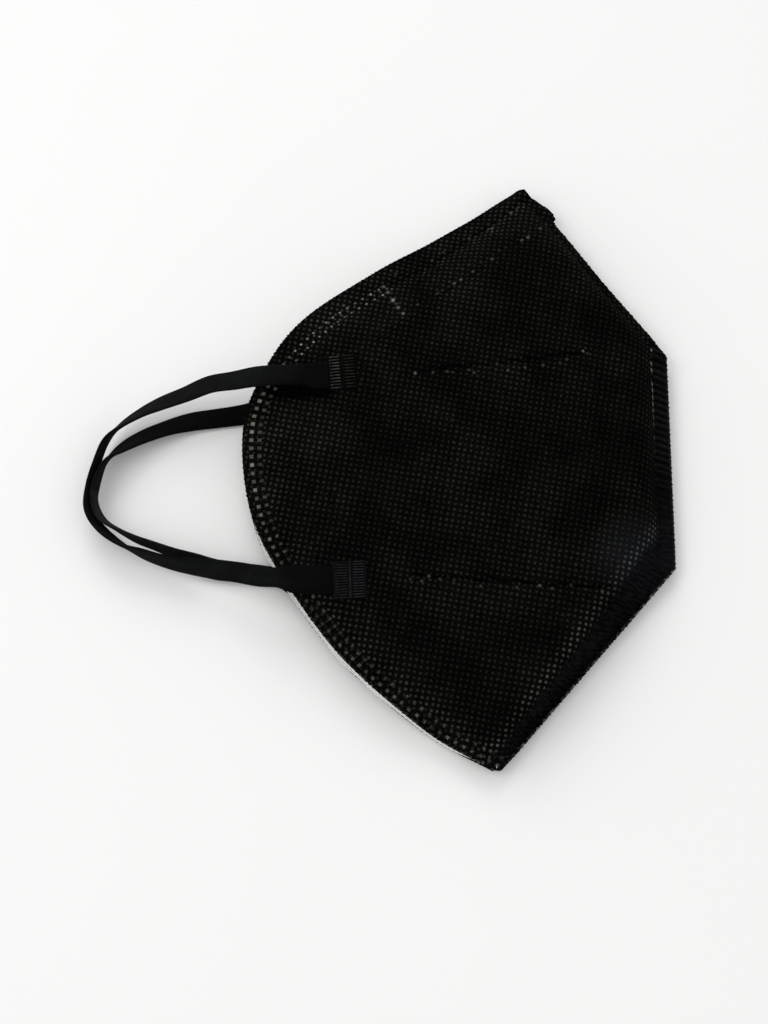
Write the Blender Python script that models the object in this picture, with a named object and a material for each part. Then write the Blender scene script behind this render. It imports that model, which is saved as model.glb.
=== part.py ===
"""A folding respirator mask that lies folded flat, slightly sprung open along its face edge.

Metres, +Z up. The origin is on the resting surface, under the middle of the whole part. +X points to the
welded front seam, +Y to the nose corner. The outer shell is one sheet, folded over at the nose and welded
shut along the front and the chin, so that it is a pocket, open along the curved face edge. A white lining
follows it inside. An elastic ear loop is welded on each half: the right half is uppermost.
"""
import math

import bmesh
import bpy
import numpy as np

MM = 0.001

# Corners of the folded outline, seen from above.
NOSE_CORNER = (37.7 * MM, 77.2 * MM)
FRONT_TOP = (73.0 * MM, 29.2 * MM)
FRONT_BOTTOM = (72.2 * MM, -27.0 * MM)
CHIN_TIP = (27.8 * MM, -77.2 * MM)
TIP_CUT = 0.8 * MM  # the two tips end in short straight cuts

# The face edge bows away from the straight line between the two tips.
# Columns: share of that line, counted from the chin tip, and how far the edge stands off it.
FACE_EDGE = (
    (0.000, 0.0 * MM),
    (0.058, 17.8 * MM),
    (0.155, 38.0 * MM),
    (0.271, 53.5 * MM),
    (0.372, 62.8 * MM),
    (0.494, 66.8 * MM),
    (0.589, 64.8 * MM),
    (0.707, 55.6 * MM),
    (0.818, 36.2 * MM),
    (1.000, 0.0 * MM),
)

# The three closed edges: the nose fold is a round roll, and the two welds have a flat pressed rim.
# Columns: name, start, end, rim width, thickness at the edge, depth of the rounded end, share of the
# thickness that the cloth gains in a quick roll beside the rim, and the edge's lowest height.
CLOSED_EDGES = (
    ("nose_fold", NOSE_CORNER, FRONT_TOP, 0.0, 5.4 * MM, 2.7 * MM, 0.00, 0.5 * MM),
    ("front_weld", FRONT_TOP, FRONT_BOTTOM, 4.0 * MM, 1.3 * MM, 0.3 * MM, 0.55, 2.5 * MM),
    ("chin_weld", FRONT_BOTTOM, CHIN_TIP, 1.6 * MM, 1.3 * MM, 0.3 * MM, 0.55, 2.1 * MM),
)
QUICK_ROLL = 7.0 * MM
SLOW_ROLL = 22.0 * MM
UNDERSIDE_ROLL = 16.0 * MM

# Thickness of the folded mask over its middle, and at the face edge.
FULL_HEIGHT = 11.0 * MM
CROWN = 0.6 * MM
CROWN_PLACE = (22.0 * MM, 0.0)
CROWN_REACH = 42.0 * MM
MOUTH_TIP_GAP = 1.6 * MM
MOUTH_MIDDLE_GAP = 9.4 * MM
MOUTH_FULLNESS = 0.65
MOUTH_ROLL = 20.0 * MM

# The underside lies flat from LIFT_END on, and is raised over the ear loop that lies under it.
STRAP_LIFT = 1.9 * MM
LIFT_START = -1.5 * MM
LIFT_END = 14.0 * MM

# Cloth walls, measured inwards from the outside.
SHELL_WALL = 1.0 * MM
LAYER_GAP = 0.3 * MM
LINING_WALL = 1.0 * MM
EDGE_PRESS = 0.8  # the face edge is welded, which presses the walls to this share
PRESS_REACH = 6.0 * MM
SLOT = 0.3 * MM  # narrowest space left inside a closed edge
TIP_ROUND = 0.3 * MM  # depth of the rounded end where a closed edge runs out into the face edge
LINING_TIP_GAP = 11.0 * MM
LINING_SETBACK = 0.8 * MM  # the lining ends this much further inside the closed edges than the shell's wall

# How finely the cloth's curves are faceted. Rows have columns at these distances inside a closed edge's
# rim, drawn together where a row is shorter than FULL_ROW.
BESIDE_RIM = (0.0, 0.5 * MM, 1.6 * MM, 3.6 * MM, 7.0 * MM, 13.0 * MM)
FULL_ROW = 40.0 * MM
ROWS_PER_EDGE = 10
EVEN_COLUMNS = 11
SHELL_END_COLUMNS = 5
LINING_END_COLUMNS = 1

# Ear loops: flat elastic, welded on at both ends.
STRAP_WIDTH = 5.4 * MM
STRAP_THICKNESS = 1.1 * MM
STRAP_STATIONS = 51
# Columns: x, y, height of the strap's middle, and roll, which is 90 where the strap stands on its edge.
RIGHT_LOOP = (
    (-13.6, 20.9, 12.3, 0),
    (-21.0, 20.5, 12.3, 4),
    (-29.8, 20.4, 12.0, 8),
    (-36.6, 19.8, 10.7, 15),
    (-43.3, 19.2, 8.8, 25),
    (-49.0, 17.5, 7.4, 30),
    (-55.3, 15.4, 6.0, 37),
    (-60.2, 13.2, 4.9, 50),
    (-65.2, 9.9, 3.9, 68),
    (-69.0, 6.1, 3.2, 80),
    (-71.4, 0.4, 2.85, 90),
    (-72.4, -6.0, 2.85, 90),
    (-71.8, -12.0, 2.85, 90),
    (-68.9, -17.4, 2.85, 90),
    (-63.9, -21.5, 2.9, 88),
    (-58.4, -23.9, 3.1, 84),
    (-52.1, -25.8, 3.7, 74),
    (-46.0, -27.3, 5.0, 52),
    (-39.9, -28.8, 6.8, 28),
    (-33.9, -30.1, 8.9, 12),
    (-28.0, -31.1, 10.8, 4),
    (-20.5, -31.8, 12.0, 0),
    (-11.6, -31.9, 12.1, 0),
)
LEFT_LOOP = (
    (-13.9, 21.0, 0.85, 0),
    (-20.0, 19.6, 0.7, 0),
    (-27.3, 16.6, 0.65, 0),
    (-34.5, 14.0, 0.65, 2),
    (-41.5, 12.9, 0.8, 5),
    (-48.0, 11.9, 1.1, 10),
    (-54.0, 10.0, 1.7, 24),
    (-60.0, 7.2, 2.3, 36),
    (-65.0, 4.0, 2.7, 54),
    (-68.4, 0.2, 2.85, 74),
    (-70.2, -4.4, 2.85, 88),
    (-70.5, -9.0, 2.85, 90),
    (-68.9, -13.9, 2.85, 90),
    (-65.0, -17.0, 2.85, 90),
    (-60.4, -19.3, 2.85, 88),
    (-55.4, -21.3, 2.85, 82),
    (-50.6, -22.9, 2.8, 70),
    (-46.0, -24.2, 2.3, 46),
    (-41.0, -25.8, 1.4, 20),
    (-34.5, -27.9, 0.7, 3),
    (-27.0, -30.0, 0.65, 0),
    (-19.5, -31.5, 0.7, 0),
    (-11.6, -31.9, 0.85, 0),
)

# Weld pads: ribbed plates at the ends of each loop. Columns: name, middle, turn in degrees, and length.
WELD_PADS = (
    ("upper", (-9.5 * MM, 21.6 * MM), 7.0, 7.2 * MM),
    ("lower", (-7.1 * MM, -32.0 * MM), 4.0, 8.0 * MM),
)
PAD_WIDTH = 9.3 * MM
PAD_PLATE = 0.7 * MM
PAD_RIB_HEIGHT = 0.35 * MM
PAD_RIBS = 9
PIECE_GAP = 0.3 * MM

# Base colours are linear.
BLACK_CLOTH = (0.012, 0.012, 0.013)
WHITE_CLOTH = (0.80, 0.80, 0.78)
BLACK_ELASTIC = (0.009, 0.010, 0.011)
PRESSED_BLACK = (0.020, 0.020, 0.022)


def smooth_step(t):
    """0 up to t = 0 and 1 from t = 1, level at both ends."""
    t = np.clip(t, 0.0, 1.0)
    return t * t * (3.0 - 2.0 * t)


def ease_out(t):
    """0 up to t = 0 and 1 from t = 1, steep at the start."""
    t = np.clip(t, 0.0, 1.0)
    return t * (2.0 - t)


def quarter_round(t):
    """0 up to t = 0 and 1 from t = 1, as a quarter of a circle."""
    return np.sqrt(ease_out(t))


def curve_through(points, samples):
    """Evenly sampled Catmull-Rom curve through a table's rows."""
    points = np.array(points, float)
    padded = np.vstack((2 * points[0] - points[1], points, 2 * points[-1] - points[-2]))
    place = np.linspace(0.0, len(points) - 1.0, samples)
    start = np.minimum(place.astype(int), len(points) - 2)
    t = (place - start)[:, None]
    before, here, after, beyond = (padded[start + k] for k in range(4))
    return 0.5 * (
        2 * here
        + (after - before) * t
        + (2 * before - 5 * here + 4 * after - beyond) * t**2
        + (3 * here - before - 3 * after + beyond) * t**3
    )


def face_edge_line():
    """The face edge as a dense line of x and y, from the chin tip to the nose corner."""
    tip = np.array(CHIN_TIP)
    chord = np.array(NOSE_CORNER) - tip
    outward = np.array((-chord[1], chord[0])) / np.linalg.norm(chord)
    table = curve_through(FACE_EDGE, 400)
    return tip + table[:, :1] * chord + table[:, 1:] * outward


FACE_LINE = face_edge_line()


def face_edge_x(y):
    return np.interp(y, FACE_LINE[:, 1], FACE_LINE[:, 0])


def face_edge_distance(x, y):
    """How far a point is inside the face edge, measured square to the edge."""
    step = 0.5 * MM
    slope = (face_edge_x(y + step) - face_edge_x(y - step)) / (2 * step)
    return (x - face_edge_x(y)) / np.sqrt(1.0 + slope**2)


def closed_edge_line(start, end, y):
    """x on a closed edge's straight line at height y, and how square the line is to the x axis."""
    run_x, run_y = end[0] - start[0], end[1] - start[1]
    squareness = abs(run_y) / math.hypot(run_x, run_y)
    return start[0] + (y - start[1]) * run_x / run_y, squareness


def closed_edge_x(y, inset):
    """Right-hand end of a row at y. Inner surfaces end this far inside the outline and its pressed rims."""
    ends = []
    for _, start, end, rim, *_ in CLOSED_EDGES:
        x, squareness = closed_edge_line(start, end, y)
        back = inset + rim if inset > 0.0 else 0.0
        ends.append(x - back / squareness)
    shortest = 0.5 * (face_edge_x(y) + closed_edge_x(y, 0.0)) if inset > 0.0 else face_edge_x(y)
    return np.maximum(np.minimum.reduce(ends), shortest)


def mouth_gap(y):
    """Thickness of the folded mask at the face edge: closed at the tips, open between them."""
    share = np.clip((y - CHIN_TIP[1]) / (NOSE_CORNER[1] - CHIN_TIP[1]), 0.0, 1.0)
    return MOUTH_TIP_GAP + (MOUTH_MIDDLE_GAP - MOUTH_TIP_GAP) * np.sin(math.pi * share) ** MOUTH_FULLNESS


def edge_mix(x, y, depth):
    """Each edge's values, mixed by how near the point is to it.

    Gives the thickness at the edge, the height of its underside, its rounded end along x, its rim, how
    much of the full thickness the cloth has reached, and how much of the underside has come down flat.
    """
    near_mouth = face_edge_distance(x, y)
    pull = 1.0 / (np.maximum(near_mouth, 0.0) + MM) ** 2
    total = pull
    thickness = pull * mouth_gap(y)
    underside = pull * STRAP_LIFT
    end_depth = pull * TIP_ROUND
    rim_width = pull * 0.0
    reached = smooth_step(near_mouth / MOUTH_ROLL)
    flat = np.ones_like(reached)
    for _, start, end, rim, edge_thickness, rounded, quick, lowest in CLOSED_EDGES:
        edge_x, squareness = closed_edge_line(start, end, y)
        inside = (edge_x - x) * squareness - depth - max(rim, rounded)
        pull = 1.0 / (np.maximum(inside, 0.0) + MM) ** 2
        total = total + pull
        thickness = thickness + pull * edge_thickness
        underside = underside + pull * lowest
        end_depth = end_depth + pull * rounded / squareness
        rim_width = rim_width + pull * rim / squareness
        roll = quick * quarter_round(inside / QUICK_ROLL) + (1.0 - quick) * ease_out(inside / SLOW_ROLL)
        reached = reached * roll
        flat = flat * smooth_step(inside / UNDERSIDE_ROLL)
    mixed = [value / total for value in (thickness, underside, end_depth, rim_width)]
    return (*mixed, reached, flat)


def body_heights(x, y, depth=0.0):
    """Underside and upper side of the folded mask at a point, this deep under its outer face."""
    edge_thickness, edge_underside, _, _, reached, flat = edge_mix(x, y, depth)
    strap_lift = STRAP_LIFT * (1.0 - smooth_step((x - LIFT_START) / (LIFT_END - LIFT_START)))
    off_middle = (x - CROWN_PLACE[0]) ** 2 + (y - CROWN_PLACE[1]) ** 2
    crown = CROWN * np.exp(-off_middle / CROWN_REACH**2)
    full = FULL_HEIGHT + crown - strap_lift
    thickness = edge_thickness + (full - edge_thickness) * reached
    low = edge_underside * (1.0 - flat) + strap_lift * flat
    pressed = EDGE_PRESS + (1.0 - EDGE_PRESS) * smooth_step(face_edge_distance(x, y) / PRESS_REACH)
    left = np.maximum(thickness - 2.0 * depth * pressed, np.minimum(thickness, SLOT))
    middle = low + 0.5 * thickness
    return middle - 0.5 * left, middle + 0.5 * left


def pocket_grid(rows, depth, inset, end_columns):
    """One face of the folded cloth: each row runs over the top, round the closed edge and back below."""
    y = rows[:, None]
    left = face_edge_x(y)
    right = closed_edge_x(y, inset)
    _, _, end_depth, rim, _, _ = edge_mix(right, y, depth)
    end_depth = np.clip(end_depth - depth, 0.2 * MM, 0.3 * (right - left))
    end = right - end_depth
    rim = rim if depth == 0.0 else 0.0 * rim
    near_end = np.maximum(rim - end_depth, BESIDE_RIM[1]) + np.array(BESIDE_RIM)
    near_end = np.hstack((0.0 * end, near_end)) * np.minimum(1.0, (end - left) / FULL_ROW)
    reach = end - near_end[:, -1:]
    across = left + (reach - left) * np.linspace(0.0, 1.0, EVEN_COLUMNS + 1)[:-1]
    x = np.hstack((across, end - near_end[:, ::-1]))
    low, high = body_heights(x, y, depth)
    angle = np.linspace(0.5 * math.pi, -0.5 * math.pi, end_columns + 2)[1:-1]
    round_x = end + end_depth * np.cos(angle)
    middle = 0.5 * (low[:, -1:] + high[:, -1:])
    round_z = middle + (high[:, -1:] - middle) * np.sin(angle)
    x_all = np.hstack((x, round_x, x[:, ::-1]))
    z_all = np.hstack((high, round_z, low[:, ::-1]))
    return np.stack((x_all, np.broadcast_to(y, x_all.shape), z_all), axis=-1)


def new_object(name, vertices, faces, material):
    """A closed mesh object with its faces turned outwards."""
    mesh = bpy.data.meshes.new(name)
    mesh.from_pydata([tuple(v) for v in vertices], [], faces)
    mesh.materials.append(material)
    shape = bmesh.new()
    shape.from_mesh(mesh)
    bmesh.ops.recalc_face_normals(shape, faces=shape.faces)
    bmesh.ops.triangulate(shape, faces=shape.faces)
    shape.to_mesh(mesh)
    shape.free()
    mesh.shade_smooth()
    mesh.set_sharp_from_angle(angle=math.radians(40.0))
    thing = bpy.data.objects.new(name, mesh)
    bpy.context.collection.objects.link(thing)
    return thing


def walled_sheet(name, outer, inner, material):
    """A closed solid between two grids of the same size."""
    row_count, column_count = outer.shape[:2]
    number = np.arange(row_count * column_count).reshape(row_count, column_count)
    far = number + row_count * column_count
    quads = []
    for grid in (number, far):
        quads.append(np.stack((grid[:-1, :-1], grid[:-1, 1:], grid[1:, 1:], grid[1:, :-1]), axis=-1))
    borders = [(grid[0], grid[-1], grid[:, 0], grid[:, -1]) for grid in (number, far)]
    for near_line, far_line in zip(*borders):
        quads.append(np.stack((near_line[:-1], near_line[1:], far_line[1:], far_line[:-1]), axis=-1))
    faces = np.vstack([q.reshape(-1, 4) for q in quads]).tolist()
    vertices = np.vstack((outer.reshape(-1, 3), inner.reshape(-1, 3)))
    return new_object(name, vertices, faces, material)


def row_places(tip_gap):
    """Rows of the pocket, with one on each corner of the closed edges, kept this far from the two tips."""
    lowest, highest = CHIN_TIP[1] + TIP_CUT, NOSE_CORNER[1] - TIP_CUT
    corners = (lowest, FRONT_BOTTOM[1], FRONT_TOP[1], highest)
    stretches = [np.linspace(a, b, ROWS_PER_EDGE + 1)[:-1] for a, b in zip(corners, corners[1:])]
    rows = np.concatenate((*stretches, [highest]))
    first, last = CHIN_TIP[1] + tip_gap, NOSE_CORNER[1] - tip_gap
    return np.concatenate(([first], rows[(rows > first + MM) & (rows < last - MM)], [last]))


def outer_shell(material):
    rows = row_places(TIP_CUT)
    outside = pocket_grid(rows, 0.0, 0.0, SHELL_END_COLUMNS)
    inside = pocket_grid(rows, SHELL_WALL, SHELL_WALL, SHELL_END_COLUMNS)
    return walled_sheet("outer_shell", outside, inside, material)


def inner_lining(material):
    rows = row_places(LINING_TIP_GAP)
    outer_depth = SHELL_WALL + LAYER_GAP
    inner_depth = outer_depth + LINING_WALL
    outside = pocket_grid(rows, outer_depth, outer_depth + LINING_SETBACK, LINING_END_COLUMNS)
    inside = pocket_grid(rows, inner_depth, inner_depth + LINING_SETBACK, LINING_END_COLUMNS)
    return walled_sheet("inner_lining", outside, inside, material)


def strap_section():
    """Flat section with slightly pointed sides, as pairs of width and thickness."""
    half_width = 0.5 * STRAP_WIDTH
    half_thickness = 0.5 * STRAP_THICKNESS
    shoulder = half_width - half_thickness
    return np.array((
        (half_width, 0.0),
        (shoulder, half_thickness),
        (-shoulder, half_thickness),
        (-half_width, 0.0),
        (-shoulder, -half_thickness),
        (shoulder, -half_thickness),
    ))


def ear_loop(name, route, material):
    """Carries the flat section along the route, turned by the roll at each station."""
    stations = curve_through(route, STRAP_STATIONS)
    middle = stations[:, :3] * MM
    roll = np.radians(stations[:, 3:4])
    along = np.gradient(middle, axis=0)
    along /= np.linalg.norm(along, axis=1, keepdims=True)
    side = np.cross((0.0, 0.0, 1.0), along)
    side /= np.linalg.norm(side, axis=1, keepdims=True)
    upward = np.cross(along, side)
    across = np.cos(roll) * side + np.sin(roll) * upward
    facing = np.cross(along, across)
    section = strap_section()
    rings = (
        middle[:, None]
        + section[None, :, :1] * across[:, None]
        + section[None, :, 1:] * facing[:, None]
    )
    count, corners = rings.shape[:2]
    number = np.arange(count * corners).reshape(count, corners)
    turned = np.roll(number, -1, axis=1)
    sides = np.stack((number[:-1], turned[:-1], turned[1:], number[1:]), axis=-1).reshape(-1, 4)
    faces = sides.tolist() + [number[0].tolist(), number[-1].tolist()]
    return new_object(name, rings.reshape(-1, 3), faces, material)


def weld_pad(name, middle, turn, length, upper, material):
    """Ribbed plate that follows the cloth under it, on the upper half or below the lower one."""
    along = np.array((-0.5, 0.0, 0.5)) * length
    across = np.linspace(-0.5, 0.5, 2 * PAD_RIBS + 1) * PAD_WIDTH
    u, v = np.meshgrid(along, across, indexing="ij")
    cos_turn, sin_turn = math.cos(math.radians(turn)), math.sin(math.radians(turn))
    x = middle[0] + u * cos_turn - v * sin_turn
    y = middle[1] + u * sin_turn + v * cos_turn
    low, high = body_heights(x, y)
    rib = np.where(np.arange(len(across)) % 2 == 1, PAD_RIB_HEIGHT, 0.0) + 0.0 * u
    cloth = high if upper else low
    away = 1.0 if upper else -1.0
    inner_face = np.stack((x, y, cloth + away * PIECE_GAP), axis=-1)
    ribbed_face = np.stack((x, y, cloth + away * (PIECE_GAP + PAD_PLATE + rib)), axis=-1)
    return walled_sheet(name, ribbed_face, inner_face, material)


def principled(name, colour, roughness):
    material = bpy.data.materials.new(name)
    material.use_nodes = True
    shader = material.node_tree.nodes["Principled BSDF"]
    shader.inputs["Base Color"].default_value = (*colour, 1.0)
    shader.inputs["Roughness"].default_value = roughness
    shader.inputs["Metallic"].default_value = 0.0
    return material


def build():
    for thing in list(bpy.data.objects):
        bpy.data.objects.remove(thing, do_unlink=True)
    outer_shell(principled("black_nonwoven", BLACK_CLOTH, 0.75))
    inner_lining(principled("white_nonwoven", WHITE_CLOTH, 0.90))
    elastic = principled("black_elastic", BLACK_ELASTIC, 0.85)
    pressed = principled("pressed_weld", PRESSED_BLACK, 0.55)
    for side, route, upper in (("right", RIGHT_LOOP, True), ("left", LEFT_LOOP, False)):
        ear_loop(f"{side}_ear_loop", route, elastic)
        for place, middle, turn, length in WELD_PADS:
            weld_pad(f"{side}_{place}_weld_pad", middle, turn, length, upper, pressed)


build()
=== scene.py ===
import math
from types import SimpleNamespace

import bpy
import numpy as np
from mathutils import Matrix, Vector


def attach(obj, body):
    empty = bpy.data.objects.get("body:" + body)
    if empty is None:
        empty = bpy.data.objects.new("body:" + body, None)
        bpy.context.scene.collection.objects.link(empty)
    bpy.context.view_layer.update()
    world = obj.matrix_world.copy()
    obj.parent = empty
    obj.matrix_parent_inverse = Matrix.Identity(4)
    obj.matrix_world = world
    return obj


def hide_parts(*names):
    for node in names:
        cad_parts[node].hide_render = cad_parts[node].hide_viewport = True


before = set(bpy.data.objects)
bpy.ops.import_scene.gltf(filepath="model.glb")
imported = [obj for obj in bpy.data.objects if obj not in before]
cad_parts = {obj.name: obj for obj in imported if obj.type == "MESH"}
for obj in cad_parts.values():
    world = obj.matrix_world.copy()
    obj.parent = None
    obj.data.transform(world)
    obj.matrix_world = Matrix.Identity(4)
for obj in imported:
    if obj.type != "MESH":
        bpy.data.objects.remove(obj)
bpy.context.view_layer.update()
print("frame loaded:", len(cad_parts), "nodes")

mm = 0.001  # every length below is in millimetres, and makeMesh turns it into metres
sharpAngle = math.radians(50)  # faces that meet at more than this show an edge


# small curves

def smoothStep(t):
    # 0 up to t = 0, 1 from t = 1, level at both ends
    t = np.clip(t, 0, 1)
    return t * t * (3 - 2 * t)


def easeOut(t):
    # 0 up to t = 0, 1 from t = 1, steep at the start
    t = np.clip(t, 0, 1)
    return t * (2 - t)


def quarterRound(t):
    # a quarter of a circle from (0, 0) to (1, 1)
    return np.sqrt(easeOut(t))


def softBox(t, half, blur):
    # 1 inside plus or minus half, falling to 0 over the blur
    return smoothStep((half + 0.5 * blur - np.abs(t)) / blur)


def hump(t, width):
    # a bell of height 1, e to the minus square of t over the width
    return np.exp(-(t / width) ** 2)


def curveThrough(points, samples):
    # Catmull-Rom curve through the rows, evenly sampled by row number
    points = np.array(points, float)
    padded = np.vstack((2 * points[0] - points[1], points, 2 * points[-1] - points[-2]))
    place = np.linspace(0, len(points) - 1, samples)
    first = np.minimum(place.astype(int), len(points) - 2)
    t = (place - first)[:, None]
    before, here, after, beyond = (padded[first + k] for k in range(4))
    return 0.5 * (
        2 * here
        + (after - before) * t
        + (2 * before - 5 * here + 4 * after - beyond) * t**2
        + (3 * here - before - 3 * after + beyond) * t**3
    )


def unit(vector):
    # the vector divided by its length
    return vector / np.linalg.norm(vector)


def runLength(points):
    # distance run along a line of points, from its first one
    steps = np.linalg.norm(np.diff(points, axis=0), axis=-1)
    return np.concatenate(([0], np.cumsum(steps)))


def pointsAt(line, lengths, places):
    # points at these lengths along a line
    return np.stack([np.interp(places, lengths, line[:, k]) for k in range(line.shape[1])], axis=-1)


# meshes

def pointNumbers(rows, columns, first=0):
    # the numbers of a grid's points, row by row
    return np.arange(first, first + rows * columns).reshape(rows, columns)


def gridFaces(number):
    # quads between neighbouring points of a grid
    quads = (number[:-1, :-1], number[:-1, 1:], number[1:, 1:], number[1:, :-1])
    return np.stack(quads, axis=-1).reshape(-1, 4)


def stripFaces(near, far):
    # quads between two lines of vertex numbers of the same length
    return np.stack((near[:-1], near[1:], far[1:], far[:-1]), axis=-1)


def zipFaces(near, far):
    # triangles between two lines of vertex numbers of any two lengths, matched by their share of the way
    partner = np.rint(np.linspace(0, len(far) - 1, len(near))).astype(int)
    fans = np.stack((near[:-1], near[1:], far[partner[:-1]]), axis=-1)
    place = np.searchsorted(partner, np.arange(1, len(far)))
    return np.vstack((fans, np.stack((near[place], far[1:], far[:-1]), axis=-1)))


def addObject(name, data):
    thing = bpy.data.objects.new(name, data)
    bpy.context.scene.collection.objects.link(thing)
    return thing


def makeMesh(name, points, faceSets, material, maps):
    # points in millimetres; all faces are flipped together if they enclose a negative volume
    points = points.reshape(-1, 3)
    volume = 0
    for faces in faceSets:
        for k in range(1, faces.shape[1] - 1):
            a, b, c = (points[faces[:, j]] for j in (0, k, k + 1))
            volume += (a * np.cross(b, c)).sum()
    faces = [row for each in faceSets for row in (each if volume > 0 else each[:, ::-1]).tolist()]
    mesh = bpy.data.meshes.new(name)
    mesh.from_pydata((points * mm).tolist(), [], faces)
    corner = np.zeros(len(mesh.loops), int)
    mesh.loops.foreach_get("vertex_index", corner)
    for title, values in maps.items():
        layer = mesh.uv_layers.new(name=title)
        layer.data.foreach_set("uv", values.reshape(-1, 2)[corner].astype(np.float32).ravel())
    mesh.materials.append(material)
    mesh.shade_smooth()
    mesh.set_sharp_from_angle(angle=sharpAngle)
    return addObject(name, mesh)


def surfaceNormals(grid):
    # across a grid of points: the cross product of its two directions
    normal = np.cross(np.gradient(grid, axis=1), np.gradient(grid, axis=0))
    return normal / np.maximum(np.linalg.norm(normal, axis=-1, keepdims=True), 1e-9)


# the folded body

fold = {
    "noseCorner": (37.7, 77.2),
    "frontTop": (73.0, 29.2),
    "frontBottom": (72.2, -27.0),
    "chinTip": (27.8, -77.2),
    "tipCut": 0.8,
    # share of the line between the tips from the chin, and how far the face edge stands off it
    "faceEdge": [
        (0.000, 0.0), (0.058, 17.8), (0.155, 38.0), (0.271, 53.5), (0.372, 62.8),
        (0.494, 66.8), (0.589, 64.8), (0.707, 55.6), (0.818, 36.2), (1.000, 0.0),
    ],
    # of each closed edge: the rim's width and thickness, the depth of its round, the share of the quick roll
    # and the height of its underside
    "nose": (0.0, 5.4, 2.7, 0.55, 0.5),
    "front": (4.0, 1.3, 0.3, 0.62, 2.5),
    "chin": (1.6, 1.3, 0.3, 0.70, 2.1),
    "faceRound": 0.3,
    "quickRoll": {"nose": 4.0, "front": 7.0},
    # the slope above the chin weld: width at the tip, what it gains, how fast, over what run, and how round
    "chinRoll": (4.0, 4.8, 1.6, 67.0, 1.7),
    "slowRoll": 22.0,
    "undersideRoll": 16.0,
    "fullHeight": 11.0,
    "crown": (0.6, 22.0, 0.0, 42.0),  # height, x, y and reach
    "mouthTipGap": 1.6,
    "mouthMiddleGap": 9.4,
    "mouthFullness": 0.65,
    "mouthRoll": 20.0,
    "strapLift": 1.9,
    "liftStart": -1.5,
    "liftEnd": 14.0,
}
closedEdges = {
    "nose": (np.array(fold["noseCorner"]), np.array(fold["frontTop"])),
    "front": (np.array(fold["frontTop"]), np.array(fold["frontBottom"])),
    "chin": (np.array(fold["frontBottom"]), np.array(fold["chinTip"])),
}


def faceEdgeLine():
    # the chord between the tips, pushed outwards by the table's second column
    tip = np.array(fold["chinTip"])
    chord = np.array(fold["noseCorner"]) - tip
    outward = unit(np.array((-chord[1], chord[0])))
    table = curveThrough(fold["faceEdge"], 1600)
    return tip + table[:, :1] * chord + table[:, 1:] * outward


faceLine = faceEdgeLine()
faceRun = runLength(faceLine)


def faceMapping(x, y):
    # run along the face edge to the foot of a point, and the point's distance inside the edge
    edgeX = np.interp(y, faceLine[:, 1], faceLine[:, 0])
    slope = (
        np.interp(y + 0.5, faceLine[:, 1], faceLine[:, 0])
        - np.interp(y - 0.5, faceLine[:, 1], faceLine[:, 0])
    )
    squareness = 1 / np.sqrt(1 + slope**2)
    inside = (x - edgeX) * squareness
    foot = y + inside * slope * squareness
    return np.interp(foot, faceLine[:, 1], faceRun), inside


def edgePlace(x, y, name):
    # run along a closed edge from its upper end, and distance inside it
    start, end = closedEdges[name]
    along = unit(end - start)
    dx, dy = x - start[0], y - start[1]
    return dx * along[0] + dy * along[1], dx * along[1] - dy * along[0]


def edgeMix(x, y):
    # means of the four edges' thickness, underside and round, each weighed by one over the square of its
    # distance plus 1 mm; how far the body has risen to its full thickness; and how far its underside is flat
    near = np.maximum(faceMapping(x, y)[1], 0)
    share = np.clip((y - fold["chinTip"][1]) / (fold["noseCorner"][1] - fold["chinTip"][1]), 0, 1)
    opening = fold["mouthMiddleGap"] - fold["mouthTipGap"]
    gap = fold["mouthTipGap"] + opening * np.sin(math.pi * share) ** fold["mouthFullness"]
    weight = 1 / (near + 1) ** 2
    total = weight
    thickness = weight * gap
    underside = weight * fold["strapLift"]
    rounding = weight * fold["faceRound"]
    reached = smoothStep(near / fold["mouthRoll"])
    flat = np.ones_like(reached)
    for name in closedEdges:
        rim, edgeThickness, rounded, quick, lowest = fold[name]
        along, inside = edgePlace(x, y, name)
        inside = inside - max(rim, rounded)
        weight = 1 / (np.maximum(inside, 0) + 1) ** 2
        total = total + weight
        thickness = thickness + weight * edgeThickness
        underside = underside + weight * lowest
        rounding = rounding + weight * rounded
        if name == "chin":
            narrow, gain, power, reach, roundness = fold["chinRoll"]
            width = narrow + gain * np.clip(1 - along / reach, 0, 1) ** power - rim
            quickPart = 1 - (1 - np.clip(inside / width, 0, 1)) ** roundness
        else:
            quickPart = quarterRound(inside / fold["quickRoll"][name])
        reached = reached * (quick * quickPart + (1 - quick) * easeOut(inside / fold["slowRoll"]))
        flat = flat * smoothStep(inside / fold["undersideRoll"])
    return thickness / total, underside / total, rounding / total, reached, flat


def foldHeights(x, y, depth=0.0):
    # underside and top of the folded body, this deep under its face; thin places have thinner layers
    edgeThickness, edgeUnderside, _, reached, flat = edgeMix(x, y)
    liftShare = 1 - smoothStep((x - fold["liftStart"]) / (fold["liftEnd"] - fold["liftStart"]))
    lift = fold["strapLift"] * liftShare
    crown, crownX, crownY, crownReach = fold["crown"]
    fromCrown = (x - crownX) ** 2 + (y - crownY) ** 2
    full = fold["fullHeight"] - lift + crown * np.exp(-fromCrown / crownReach**2)
    thickness = edgeThickness + (full - edgeThickness) * reached
    low = edgeUnderside * (1 - flat) + lift * flat
    middle = low + 0.5 * thickness
    half = 0.5 * thickness - depth * np.minimum(1, thickness / layers["fullBelow"])
    return middle - half, middle + half


# rows and columns that the body's surfaces share

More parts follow.
